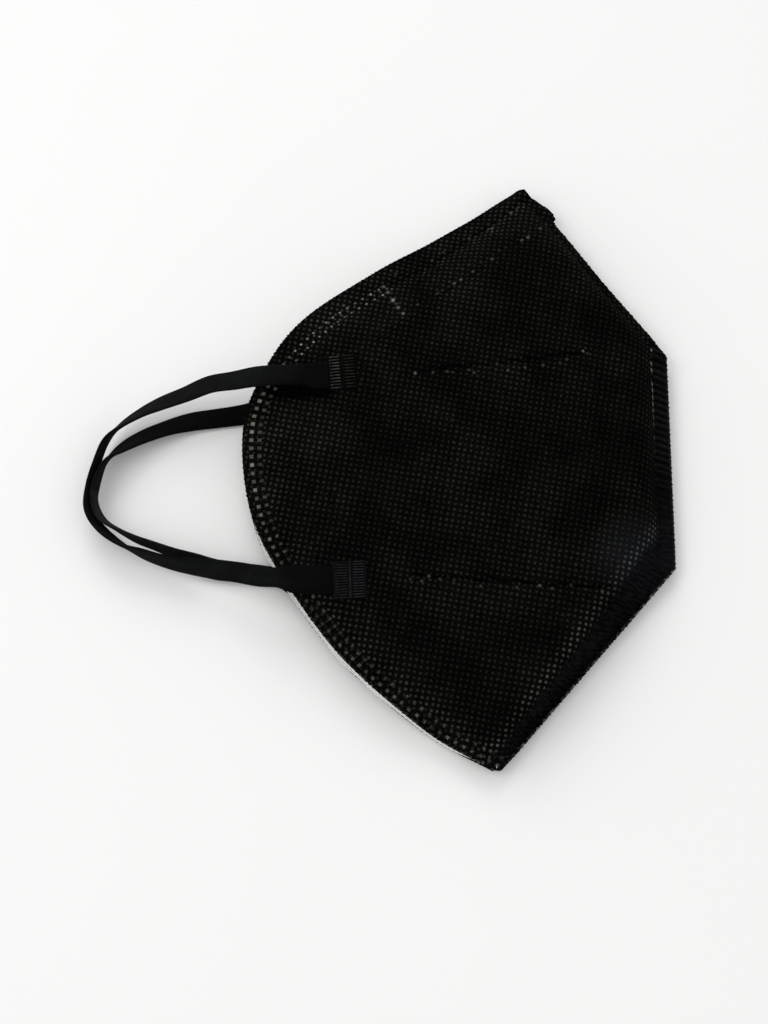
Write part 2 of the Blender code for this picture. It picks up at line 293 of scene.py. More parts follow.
layers = {
    "fullBelow": 5.4,  # where the folded body is thinner than this, its layers are thinner in step
    "shellWall": 0.9,
    "liningTop": 1.0,
    "liningWall": 1.0,
    "leastRound": 0.12,
}
meshing = {
    "rows": {"chin": 186, "front": 166, "nose": 168},
    "faceBand": np.concatenate((np.arange(0, 6.4, 0.4), (6.9, 7.6, 8.6))),
    "closedBand": np.concatenate((np.arange(0, 5.3, 0.4), (5.8, 6.6, 7.8))),
    "faceBandBelow": np.array((0, 0.5, 1.1, 1.7, 2.3, 2.9, 3.5, 4.1, 4.7, 5.5, 7.0)),
    "closedBandBelow": np.array((0, 0.6, 1.2, 1.8, 2.5, 3.2, 3.9, 4.6, 5.8, 7.8)),
    "middle": 82,
    "middleBelow": 24,
    "roundColumns": 7,
    "shortRow": 34.0,  # rows shorter than this draw their bands together
    "smoothRows": 6,  # the angle between row and edge is the mean over so many rows to both sides
}
ragged = {
    # distance down the nose fold from its tip, and how far the frayed cloth stands past the fold
    "noseCorner": [
        (0.0, 0.5), (2.2, 0.5), (2.6, 0.95), (5.2, 1.1), (6.4, 1.55), (9.4, 1.5), (10.6, 0.55), (13.0, 0.1),
    ],
    "teeth": 0.16,
    "grow": 0.1,
    "waves": ((6.1, 0.0), (4.3, 1.1), (9.7, 0.4)),  # radians in each millimetre, and the wave's start
    "waveHeight": 2.2,  # what the three waves reach together
    "calmBelow": 14.0,  # rows shorter than this have smaller teeth
}


def raggedEdge(run):
    # small uneven teeth: the sum of three waves that don't fall together
    wave = sum(np.sin(run * rate + first) for rate, first in ragged["waves"])
    return ragged["grow"] + ragged["teeth"] * wave / ragged["waveHeight"]


def bodyRows():
    # rows from the face edge to the closed edges, each boundary divided by its own length
    low, high = fold["chinTip"][1] + fold["tipCut"], fold["noseCorner"][1] - fold["tipCut"]
    corners = []
    for name, height in (("chin", low), ("nose", high)):
        start, end = closedEdges[name]
        corners.append(start + (end - start) * (height - start[1]) / (end[1] - start[1]))
    stops = (corners[0], closedEdges["chin"][0], closedEdges["front"][0], corners[1])
    names = ("chin", "front", "nose")
    runs = [np.linspace(a, b, meshing["rows"][name] + 1)[:-1] for a, b, name in zip(stops, stops[1:], names)]
    closed = np.vstack((*runs, corners[1]))
    owner = np.concatenate([np.full(len(run), k) for k, run in enumerate(runs)] + [[len(names) - 1]])
    share = runLength(closed)
    share /= share[-1]
    first, last = np.interp((low, high), faceLine[:, 1], faceRun)
    face = pointsAt(faceLine, faceRun, first + (last - first) * share)
    across = closed - face
    length = np.linalg.norm(across, axis=1)
    direction = across / length[:, None]
    normals = []
    for name in names:
        start, end = closedEdges[name]
        along = unit(end - start)
        normals.append((-along[1], along[0]))
    square = np.abs((direction * np.array(normals)[owner]).sum(axis=1))
    reach = meshing["smoothRows"]
    even = np.ones(2 * reach + 1) / (2 * reach + 1)
    square = np.convolve(np.pad(square, reach, mode="edge"), even, mode="valid")
    run = runLength(closed)
    table = np.array(ragged["noseCorner"])
    beyond = raggedEdge(run) + np.interp(run[-1] - run, table[:, 0], table[:, 1])
    calm = smoothStep(length / ragged["calmBelow"])
    return face, direction, length + calm * beyond / np.maximum(square, 0.5), square


rowFace, rowDirection, rowLength, rowSquare = bodyRows()


def columnPlaces(start, flatEnd, faceBand, closedBand, middle):
    # distances along each row: a close band at both ends, and even steps between them
    squeeze = np.minimum(1, rowLength / meshing["shortRow"])[:, None]
    near = start[:, None] + faceBand * squeeze
    far = flatEnd[:, None] - (closedBand * squeeze)[:, ::-1]
    even = np.linspace(0, 1, middle + 2)[1:-1]
    return np.hstack((near, near[:, -1:] + (far[:, :1] - near[:, -1:]) * even, far))


def planOf(places):
    # x and y of the points at these distances along each row
    return rowFace[:, None] + rowDirection[:, None] * places[:, :, None]


def rowEnds(insets):
    # where each row first comes this close to a closed edge; nothing is taken off where insets is None
    ends = rowLength.copy()
    for name, inset in (insets or {}).items():
        start = edgePlace(rowFace[:, 0], rowFace[:, 1], name)[1]
        far = rowFace + rowDirection * rowLength[:, None]
        slope = (edgePlace(far[:, 0], far[:, 1], name)[1] - start) / rowLength
        ends = np.where(slope < -1e-3, np.minimum(ends, (inset - start) / np.minimum(slope, -1e-3)), ends)
    return np.maximum(ends, 0.55 * rowLength)


def foldedGrid(depth, start, insets, bands, bandsBelow, roundColumns):
    # one face of the folded cloth: over the top, round the closed edge and back underneath
    end = planOf(rowLength[:, None])
    rounding = edgeMix(end[..., 0], end[..., 1])[2][:, 0]
    outerEnd = rowEnds(insets)
    curl = np.maximum(rounding - depth, layers["leastRound"]) / rowSquare
    flatEnd = outerEnd - np.minimum(curl, 0.3 * outerEnd)
    curl = outerEnd - flatEnd
    top = columnPlaces(start, flatEnd, *bands)
    below = columnPlaces(start, flatEnd, *bandsBelow)[:, ::-1]
    angle = np.linspace(0.5 * math.pi, -0.5 * math.pi, roundColumns + 2)[1:-1]
    turn = flatEnd[:, None] + curl[:, None] * np.cos(angle)
    topPlan, belowPlan, turnPlan = planOf(top), planOf(below), planOf(turn)
    high = foldHeights(topPlan[..., 0], topPlan[..., 1], depth)[1]
    low = foldHeights(belowPlan[..., 0], belowPlan[..., 1], depth)[0]
    middle = 0.5 * (high[:, -1:] + low[:, :1])
    turnHeight = middle + (high[:, -1:] - middle) * np.sin(angle)
    plan = np.hstack((topPlan, turnPlan, belowPlan))
    height = np.hstack((high, turnHeight, low))
    facing = np.concatenate((np.ones(top.shape[1]), np.sin(angle), -np.ones(below.shape[1])))
    return np.concatenate((plan, height[..., None]), axis=-1), np.hstack((top, turn, below)), facing


flatGrid = {"low": (-34.0, -80.0), "step": 0.5, "count": (224, 322), "middle": (20.0, 0.0), "steepest": 1.6}


def flatField():
    # the cloth's own flat coordinates over the plan: plan plus what the slopes along x and y add
    xs = flatGrid["low"][0] + flatGrid["step"] * np.arange(flatGrid["count"][0])
    ys = flatGrid["low"][1] + flatGrid["step"] * np.arange(flatGrid["count"][1])
    x, y = np.meshgrid(xs, ys, indexing="ij")
    height = foldHeights(x, y)[1]
    field = []
    for axis, line, middle in ((0, xs, flatGrid["middle"][0]), (1, ys, flatGrid["middle"][1])):
        slope = np.gradient(height, flatGrid["step"], axis=axis)
        slope = np.clip(slope, -flatGrid["steepest"], flatGrid["steepest"])
        more = np.cumsum(np.sqrt(1 + slope**2) - 1, axis=axis) * flatGrid["step"]
        start = np.argmin(np.abs(line - middle))
        field.append((x, y)[axis] + more - np.take(more, [start], axis=axis))
    return np.stack(field, axis=-1)


clothField = flatField()


def flatPlace(plan):
    # the field at these plan points, between its nearest four
    place = (plan - np.array(flatGrid["low"])) / flatGrid["step"]
    first = np.clip(place.astype(int), 0, np.array(flatGrid["count"]) - 2)
    share = place - first
    i, j = first[..., 0], first[..., 1]
    a, b = share[..., :1], share[..., 1:]
    near = clothField[i, j] * (1 - b) + clothField[i, j + 1] * b
    far = clothField[i + 1, j] * (1 - b) + clothField[i + 1, j + 1] * b
    return near * (1 - a) + far * a


def clothMapping(grid, places, topColumns, roundColumns):
    # the flat place of each point; round the closed edge it runs on along the row, and comes back underneath
    run = np.linalg.norm(np.diff(grid, axis=1), axis=-1)
    run = np.hstack((np.zeros((len(grid), 1)), np.cumsum(run, axis=1)))
    last, first = topColumns - 1, topColumns + roundColumns
    extra = np.minimum(run - run[:, last : last + 1], run[:, first : first + 1] - run)
    flatEnd = np.minimum(places, places[:, last : last + 1])
    return flatPlace(planOf(flatEnd)) + rowDirection[:, None] * np.maximum(extra, 0)[..., None]


# low relief of the black cloth

relief = {
    "weldRows": (2.15, 4.15),  # distances inside the face edge of the two rows of square welds
    "weldPitch": 2.25,
    # how much further in the rows lie towards each end: from what run, over what run and how far
    "weldShiftChin": (92.0, 24.0, -0.6),
    "weldShiftNose": (114.0, 32.0, 2.6),
    "weldStretch": (120.0, 0.078),  # the run past which the pitch is wider, towards the nose, and its share
    "weldHalf": (0.5, 0.45),
    "weldBlur": 0.35,
    "weldDeep": 0.16,
    "weldBed": (0.14, 3.3, 2.1, 1.4),  # the pressed strip under both rows: depth, middle, half, blur
    "ribPitch": 1.79,
    "ribSlant": (0.5, -0.006),  # slope at the upper end, and how it changes with each millimetre down
    "ribDeep": 0.2,
    "ribWidth": 0.3,
    "ribFade": (30.0, 20.0, 0.55),  # the ribs grow shallower from this run on, over this run, by this share
    "ribBand": (0.55, 3.75, 0.06),  # lower and upper limit, and how deep it is pressed
    "seamLine": 4.15,
    "seamRidge": (0.05, 0.35),  # height and width
    "seamNotch": (1.6, 0.16),  # what each rib cuts from the ridge, and how much of the pitch
    "seamGutter": (0.16, 0.75, 0.45),  # depth, distance behind the ridge, and width
    "chinRibPitch": 2.7,
    "chinRib": (0.16, 0.4),  # depth and width
    "chinBand": (0.05, 0.85, 0.65, 0.4),  # depth, middle, half width and blur
    "chinStart": 1.2,
    # the two short lines of spot welds across each half: start, end
    "upperTuck": ((8.1, 21.4), (52.8, 26.8)),
    "lowerTuck": ((7.3, -31.0), (55.6, -34.4)),
    "tuckDeep": 0.34,
    "tuckWidth": 0.85,
    "tuckSwell": (0.45, 2.4, 1.7),  # the cloth's swell beside it: share of the depth, distance, width
    # the channel along the nose: its lower line from its end row to the fold
    "channel": [(5.7, 38.7), (12.2, 42.6), (19.0, 47.1), (31.0, 56.4), (43.7, 66.7)],
    "channelWidth": 8.4,
    "channelPuff": 0.32,
    "channelDeep": 0.26,
    "channelLine": 0.7,
    "channelEnd": 0.8,  # depth of its end row as a share
    "dimple": (0.5, (-3.4, 2.4), (1.5, 2.6)),  # beside its end: depth, then place and width along and across
}
channelLine = curveThrough(relief["channel"], 400)


def channelMapping(x, y):
    # run along the channel's lower line, and signed distance from it towards the face edge
    chord = unit(channelLine[-1] - channelLine[0])
    lineAlong = (channelLine - channelLine[0]) @ chord
    lineOff = (channelLine - channelLine[0]) @ np.array((-chord[1], chord[0]))
    dx, dy = x - channelLine[0, 0], y - channelLine[0, 1]
    along = dx * chord[0] + dy * chord[1]
    return along, dy * chord[0] - dx * chord[1] - np.interp(along, lineAlong, lineOff)


def tuckMapping(x, y, name):
    # run along a tuck from its start, signed distance from it, and its length
    start, end = (np.array(p) for p in relief[name])
    along = unit(end - start)
    dx, dy = x - start[0], y - start[1]
    return dx * along[0] + dy * along[1], dy * along[0] - dx * along[1], np.linalg.norm(end - start)


def weldMapping(x, y):
    # run and distance inside the face edge, bent so that the rows of welds are straight lines in it
    run, inside = faceMapping(x, y)
    chinFrom, chinOver, chinShift = relief["weldShiftChin"]
    noseFrom, noseOver, noseShift = relief["weldShiftNose"]
    shift = noseShift * smoothStep((run - noseFrom) / noseOver)
    shift = shift + chinShift * smoothStep((chinFrom - run) / chinOver)
    stretchFrom, stretch = relief["weldStretch"]
    return run - stretch * np.maximum(run - stretchFrom, 0), inside - shift


def ribBeat(run, pitch):
    # place inside each pitch, from -0.5 to 0.5
    return np.mod(run / pitch, 1) - 0.5


def clothRelief(x, y):
    # how far the cloth stands out of its smooth form: less its welds, ribs, channel lines and tucks, plus
    # its swells and waves
    weldRun, insideWelds = weldMapping(x, y)
    pitch = relief["weldPitch"]
    beat = ribBeat(weldRun, pitch)
    deep, middle, half, blur = relief["weldBed"]
    out = -deep * softBox(insideWelds - middle, half, blur)
    blur = relief["weldBlur"]
    for row, half in zip(relief["weldRows"], relief["weldHalf"]):
        square = softBox(beat * pitch, half, blur) * softBox(insideWelds - row, half, blur)
        out = out - relief["weldDeep"] * square

    # the front weld: a pressed band of slanted ribs, and the ridge and gutter of its inner edge
    down, inFront = edgePlace(x, y, "front")
    frontRun = np.linalg.norm(closedEdges["front"][1] - closedEdges["front"][0])
    onFront = softBox(down - 0.5 * frontRun, 0.5 * frontRun - 0.6, 1.0)
    lower, upper, bandDeep = relief["ribBand"]
    onBand = onFront * softBox(inFront - 0.5 * (lower + upper), 0.5 * (upper - lower), 0.4)
    slant = relief["ribSlant"][0] + relief["ribSlant"][1] * down
    pitch = relief["ribPitch"]
    beat = ribBeat(down + slant * inFront, pitch)
    fadeFrom, fadeOver, fadeShare = relief["ribFade"]
    fade = 1 - fadeShare * smoothStep((down - fadeFrom) / fadeOver)
    out = out - onBand * (bandDeep + relief["ribDeep"] * fade * hump(beat * pitch, relief["ribWidth"]))
    ridge, ridgeWidth = relief["seamRidge"]
    notch, notchWidth = relief["seamNotch"]
    gutter, gutterPlace, gutterWidth = relief["seamGutter"]
    behind = inFront - relief["seamLine"]
    out = out + ridge * onFront * fade * hump(behind, ridgeWidth) * (1 - notch * hump(beat, notchWidth))
    out = out - gutter * onFront * hump(behind - gutterPlace, gutterWidth)

    # the chin weld's band of ribs
    down, inChin = edgePlace(x, y, "chin")
    pitch = relief["chinRibPitch"]
    bandDeep, middle, half, blur = relief["chinBand"]
    onChin = softBox(inChin - middle, half, blur) * (down > relief["chinStart"])
    ribDeep, ribWidth = relief["chinRib"]
    out = out - onChin * (bandDeep + ribDeep * hump(ribBeat(down, pitch) * pitch, ribWidth))

    # the nose channel: puffed up between two lines and an end row, with a dimple beside its end
    along, across = channelMapping(x, y)
    width, lineWidth = relief["channelWidth"], relief["channelLine"]
    onChannel = smoothStep((along + 0.6) / 1.2)
    out = out + relief["channelPuff"] * onChannel * softBox(across - 0.5 * width, 0.5 * width - 1.2, 3.0)
    for line in (0.0, width):
        out = out - relief["channelDeep"] * onChannel * hump(across - line, lineWidth)
    endRow = hump(along, lineWidth) * softBox(across - 0.5 * width, 0.5 * width, 1.0)
    out = out - relief["channelEnd"] * relief["channelDeep"] * endRow
    deep, (alongPlace, alongWidth), (acrossPlace, acrossWidth) = relief["dimple"]
    out = out - deep * hump(along - alongPlace, alongWidth) * hump(across - acrossPlace, acrossWidth)

    # the tucks: a valley with a swell on both sides, fading out at the ends
    swell, swellPlace, swellWidth = relief["tuckSwell"]
    for name in ("upperTuck", "lowerTuck"):
        along, across, length = tuckMapping(x, y, name)
        onTuck = smoothStep((along + 1) / 3) * smoothStep((length + 1 - along) / 6)
        shape = swell * hump(np.abs(across) - swellPlace, swellWidth) - hump(across, relief["tuckWidth"])
        out = out + onTuck * relief["tuckDeep"] * shape

    # three long uneven waves away from the edges
    wave = (
        0.16 * np.sin(x / 9.1 + 1.3 * np.sin(y / 21)) * np.sin(y / 13.7 + 0.6)
        + 0.10 * np.sin(x / 5.3 - y / 7.9)
        + 0.07 * np.sin(x / 3.4 + y / 4.6 + 2.0 * np.sin(y / 17))
    )
    inside = faceMapping(x, y)[1]
    return out + wave * smoothStep((inside - 4) / 8) * smoothStep((inFront - 5) / 8)


# shader groups

def newGroup(name, inputs, outputs):
    # a group with these named sockets, given back with its input and its output node
    tree = bpy.data.node_groups.new(name, "ShaderNodeTree")
    for title, kind, value in inputs:
        socket = tree.interface.new_socket(name=title, in_out="INPUT", socket_type=f"NodeSocket{kind}")
        if value is not None:
            socket.default_value = value
    for title, kind in outputs:
        tree.interface.new_socket(name=title, in_out="OUTPUT", socket_type=f"NodeSocket{kind}")
    return tree, tree.nodes.new("NodeGroupInput"), tree.nodes.new("NodeGroupOutput")


def plug(tree, value, socket):
    # links an output, or sets a plain number
    if isinstance(value, bpy.types.NodeSocket):
        tree.links.new(value, socket)
    else:
        socket.default_value = value


def calc(tree, operation, a, b=None, c=None, clamp=False):
    node = tree.nodes.new("ShaderNodeMath")
    node.operation = operation
    node.use_clamp = clamp
    for socket, value in zip(node.inputs, (a, b, c)):
        if value is not None:
            plug(tree, value, socket)
    return node.outputs[0]


def times(tree, *values):
    # the product of all the values
    total = values[0]
    for value in values[1:]:
        total = calc(tree, "MULTIPLY", total, value)
    return total


def plus(tree, *values):
    # the sum of all the values
    total = values[0]
    for value in values[1:]:
        total = calc(tree, "ADD", total, value)
    return total


def ramp(tree, value, low, high, falling=False):
    # from 0 at low to 1 at high, level at both; the other way if falling, or if low is the larger number
    if not isinstance(low, bpy.types.NodeSocket) and low > high:
        low, high, falling = high, low, True
    node = tree.nodes.new("ShaderNodeMapRange")
    node.interpolation_type = "SMOOTHSTEP"
    plug(tree, value, node.inputs["Value"])
    plug(tree, low, node.inputs["From Min"])
    plug(tree, high, node.inputs["From Max"])
    node.inputs["To Min"].default_value = float(falling)
    node.inputs["To Max"].default_value = float(not falling)
    return node.outputs["Result"]


def bell(tree, value, centre, reach):
    # 1 at the centre and 0 from the reach outwards
    return ramp(tree, calc(tree, "ABSOLUTE", calc(tree, "SUBTRACT", value, centre)), reach, 0.0)


def between(tree, value, low, high, blur):
    # 1 between low and high, falling to 0 over the blur at both
    rise = ramp(tree, value, low - 0.5 * blur, low + 0.5 * blur)
    return calc(tree, "MULTIPLY", rise, ramp(tree, value, high + 0.5 * blur, high - 0.5 * blur))


def swing(tree, mask, low, high):
    # low where the mask is 0, high where it is 1
    return calc(tree, "MULTIPLY_ADD", mask, high - low, low)


def mixColour(tree, share, a, b):
    node = tree.nodes.new("ShaderNodeMix")
    node.data_type = "RGBA"
    plug(tree, share, node.inputs["Factor"])
    for value, socket in ((a, node.inputs[6]), (b, node.inputs[7])):
        plug(tree, value if isinstance(value, bpy.types.NodeSocket) else (*value, 1.0), socket)
    return node.outputs[2]


def noise(tree, vector, scale, detail, output="Fac"):
    node = tree.nodes.new("ShaderNodeTexNoise")
    plug(tree, vector, node.inputs["Vector"])
    plug(tree, scale, node.inputs["Scale"])
    node.inputs["Detail"].default_value = detail
    return node.outputs[output]


def patches(tree, vector, scale, detail, low, high):
    # soft blotches: 0 where a noise is below low, 1 where it is above high
    return ramp(tree, noise(tree, vector, scale, detail), low, high)


def splitVector(tree, vector):
    node = tree.nodes.new("ShaderNodeSeparateXYZ")
    tree.links.new(vector, node.inputs[0])
    return node.outputs


def joinVector(tree, x, y):
    node = tree.nodes.new("ShaderNodeCombineXYZ")
    plug(tree, x, node.inputs[0])
    plug(tree, y, node.inputs[1])
    return node.outputs[0]


def turned(tree, vector, turn=0.0, offset=(0, 0, 0), scale=(1, 1, 1)):
    # a place scaled, then turned about z by so many radians, then moved
    node = tree.nodes.new("ShaderNodeMapping")
    node.inputs["Location"].default_value = offset
    node.inputs["Rotation"].default_value = (0, 0, turn)
    node.inputs["Scale"].default_value = scale
    tree.links.new(vector, node.inputs["Vector"])
    return node.outputs[0]


def chanceOf(tree, x, y=None):
    # an even chance from 0 to 1 for each value of x, or for each pair of x and y
    node = tree.nodes.new("ShaderNodeTexWhiteNoise")
    if y is None:
        node.noise_dimensions = "1D"
        plug(tree, x, node.inputs["W"])
    else:
        node.noise_dimensions = "2D"
        plug(tree, joinVector(tree, x, y), node.inputs["Vector"])
    return node.outputs["Value"]


def stepsOf(tree, value, pitch, shift=0.0):
    # the number of the pitch that a value falls in, and its distance from the middle of that pitch
    steps = calc(tree, "ADD", calc(tree, "DIVIDE", value, pitch), shift)
    beat = calc(tree, "SUBTRACT", calc(tree, "FRACT", steps), 0.5)
    return calc(tree, "FLOOR", steps), calc(tree, "MULTIPLY", beat, pitch)


def useGroup(tree, group, **values):
    # a node of the group, with these values on its inputs
    node = tree.nodes.new("ShaderNodeGroup")
    node.node_tree = group
    for title, value in values.items():
        plug(tree, value, node.inputs[title])
    return node.outputs


def makeBondPoints():
    # a lattice of round points, a little out of line: each point's mask is 1 up to 0.45 of the size from its
    # middle and 0 from 1.45 of it outwards, and its strength is 1 less its own chance of the unevenness
    tree, given, out = newGroup(
        "bondPoints",
        (
            ("Place", "Vector", None), ("Pitch", "Float", 1.45), ("Size", "Float", 0.3),
            ("Unevenness", "Float", 0.4),
        ),
        (("Mask", "Float"), ("Strength", "Float")),
    )
    shift = splitVector(tree, noise(tree, given.outputs["Place"], 0.5, 3.0, "Color"))
    straight = splitVector(tree, given.outputs["Place"])
    cells, squares = [], []
    for k in (0, 1):
        moved = calc(tree, "MULTIPLY_ADD", shift[k], 0.7, straight[k])
        cell, off = stepsOf(tree, moved, given.outputs["Pitch"])
        cells.append(cell)
        squares.append(calc(tree, "POWER", off, 2.0))
    far = calc(tree, "SQRT", plus(tree, *squares))
    inner, outer = (times(tree, given.outputs["Size"], share) for share in (0.45, 1.45))
    tree.links.new(ramp(tree, far, inner, outer, falling=True), out.inputs["Mask"])
    lack = times(tree, chanceOf(tree, *cells), given.outputs["Unevenness"])
    tree.links.new(calc(tree, "SUBTRACT", 1.0, lack), out.inputs["Strength"])
    return tree


def makeFibres():
    # fine crossing fibres: the highest of three noises, each stretched along its own direction
    tree, given, out = newGroup(
        "fibres",
        (("Place", "Vector", None), ("Fineness", "Float", 5.0)),
        (("Height", "Float"), ("Cloud", "Float")),
    )
    height = 0.0
    for turn, stretch in ((0.35, 0.16), (1.5, 0.13), (2.5, 0.18)):
        along = turned(tree, given.outputs["Place"], turn, scale=(stretch, 1, 1))
        lines = patches(tree, along, given.outputs["Fineness"], 1.0, 0.45, 0.66)
        height = calc(tree, "MAXIMUM", height, lines)
    tree.links.new(height, out.inputs["Height"])
    tree.links.new(noise(tree, given.outputs["Place"], 0.07, 2.0), out.inputs["Cloud"])
    return tree


def makeWeldSquares():
    # a row of squares at one distance inside an edge: 1 up to half their width from the middle, and 0 past
    # the blur; Place is run along the edge and distance inside it
    tree, given, out = newGroup(
        "weldSquares",
        (
            ("Place", "Vector", None), ("Row", "Float", 2.3), ("Pitch", "Float", 2.05),
            ("Half", "Float", 0.56), ("Blur", "Float", 0.25),
        ),
        (("Mask", "Float"), ("Chance", "Float")),
    )
    run, inside = splitVector(tree, given.outputs["Place"])[:2]
    cell, alongOff = stepsOf(tree, run, given.outputs["Pitch"])
    acrossOff = calc(tree, "SUBTRACT", inside, given.outputs["Row"])
    outer = plus(tree, given.outputs["Half"], given.outputs["Blur"])
    masks = [
        ramp(tree, calc(tree, "ABSOLUTE", off), given.outputs["Half"], outer, falling=True)
        for off in (alongOff, acrossOff)
    ]
    tree.links.new(times(tree, *masks), out.inputs["Mask"])
    tree.links.new(chanceOf(tree, cell, given.outputs["Row"]), out.inputs["Chance"])
    return tree


bondPoints = makeBondPoints()
fibres = makeFibres()
weldSquares = makeWeldSquares()


# materials

def newMaterial(name, roughness, specular, sheen=0.0):
    material = bpy.data.materials.new(name)
    material.use_nodes = True
    tree = material.node_tree
    shader = tree.nodes["Principled BSDF"]
    shader.inputs["Roughness"].default_value = roughness
    shader.inputs["Metallic"].default_value = 0.0
    shader.inputs["Specular IOR Level"].default_value = specular
    if sheen:
        shader.inputs["Sheen Weight"].default_value = sheen
        shader.inputs["Sheen Roughness"].default_value = 0.5
    return material, tree, shader


def mapNode(tree, name):
    node = tree.nodes.new("ShaderNodeUVMap")
    node.uv_map = name
    return node.outputs[0]


def bumped(tree, shader, height, distance):
    node = tree.nodes.new("ShaderNodeBump")
    node.inputs["Distance"].default_value = distance
    tree.links.new(height, node.inputs["Height"])
    tree.links.new(node.outputs[0], shader.inputs["Normal"])


def objectPlace(tree, turn=0.0, offset=(0, 0, 0)):
    # the point's own place in millimetres, turned and moved
    where = tree.nodes.new("ShaderNodeTexCoord").outputs["Object"]
    return turned(tree, where, turn, offset, (1 / mm,) * 3)


def flattened(tree, vector):
    # the place with its height taken out
    node = tree.nodes.new("ShaderNodeVectorMath")
    node.operation = "MULTIPLY"
    node.inputs[1].default_value = (1, 1, 0)
    tree.links.new(vector, node.inputs[0])
    return node.outputs[0]


def distanceTo(tree, plan, x, y):
    node = tree.nodes.new("ShaderNodeVectorMath")
    node.operation = "DISTANCE"
    node.inputs[1].default_value = (x, y, 0)
    tree.links.new(plan, node.inputs[0])
    return node.outputs["Value"]


def spotSum(tree, plan, spots):
    # the sum of round soft spots, each x, y, reach and brightness
    total = 0.0
    for x, y, reach, brightness in spots:
        spot = ramp(tree, distanceTo(tree, plan, x, y), reach, 0.1 * reach)
        total = calc(tree, "MULTIPLY_ADD", spot, brightness, total)
    return total


def lineFrame(tree, start, end):
    # run along a straight line and distance to its left, in millimetres
    angle = -math.atan2(end[1] - start[1], end[0] - start[0])
    offset = (
        -(start[0] * math.cos(angle) - start[1] * math.sin(angle)),
        -(start[0] * math.sin(angle) + start[1] * math.cos(angle)),
        0,
    )
    return splitVector(tree, objectPlace(tree, angle, offset))[:2]


def beatOf(tree, value, pitch, shift=0.0):
    # distance from the middle of each pitch, and a chance of its own for each
    cell, off = stepsOf(tree, value, pitch, shift)
    return off, chanceOf(tree, cell)


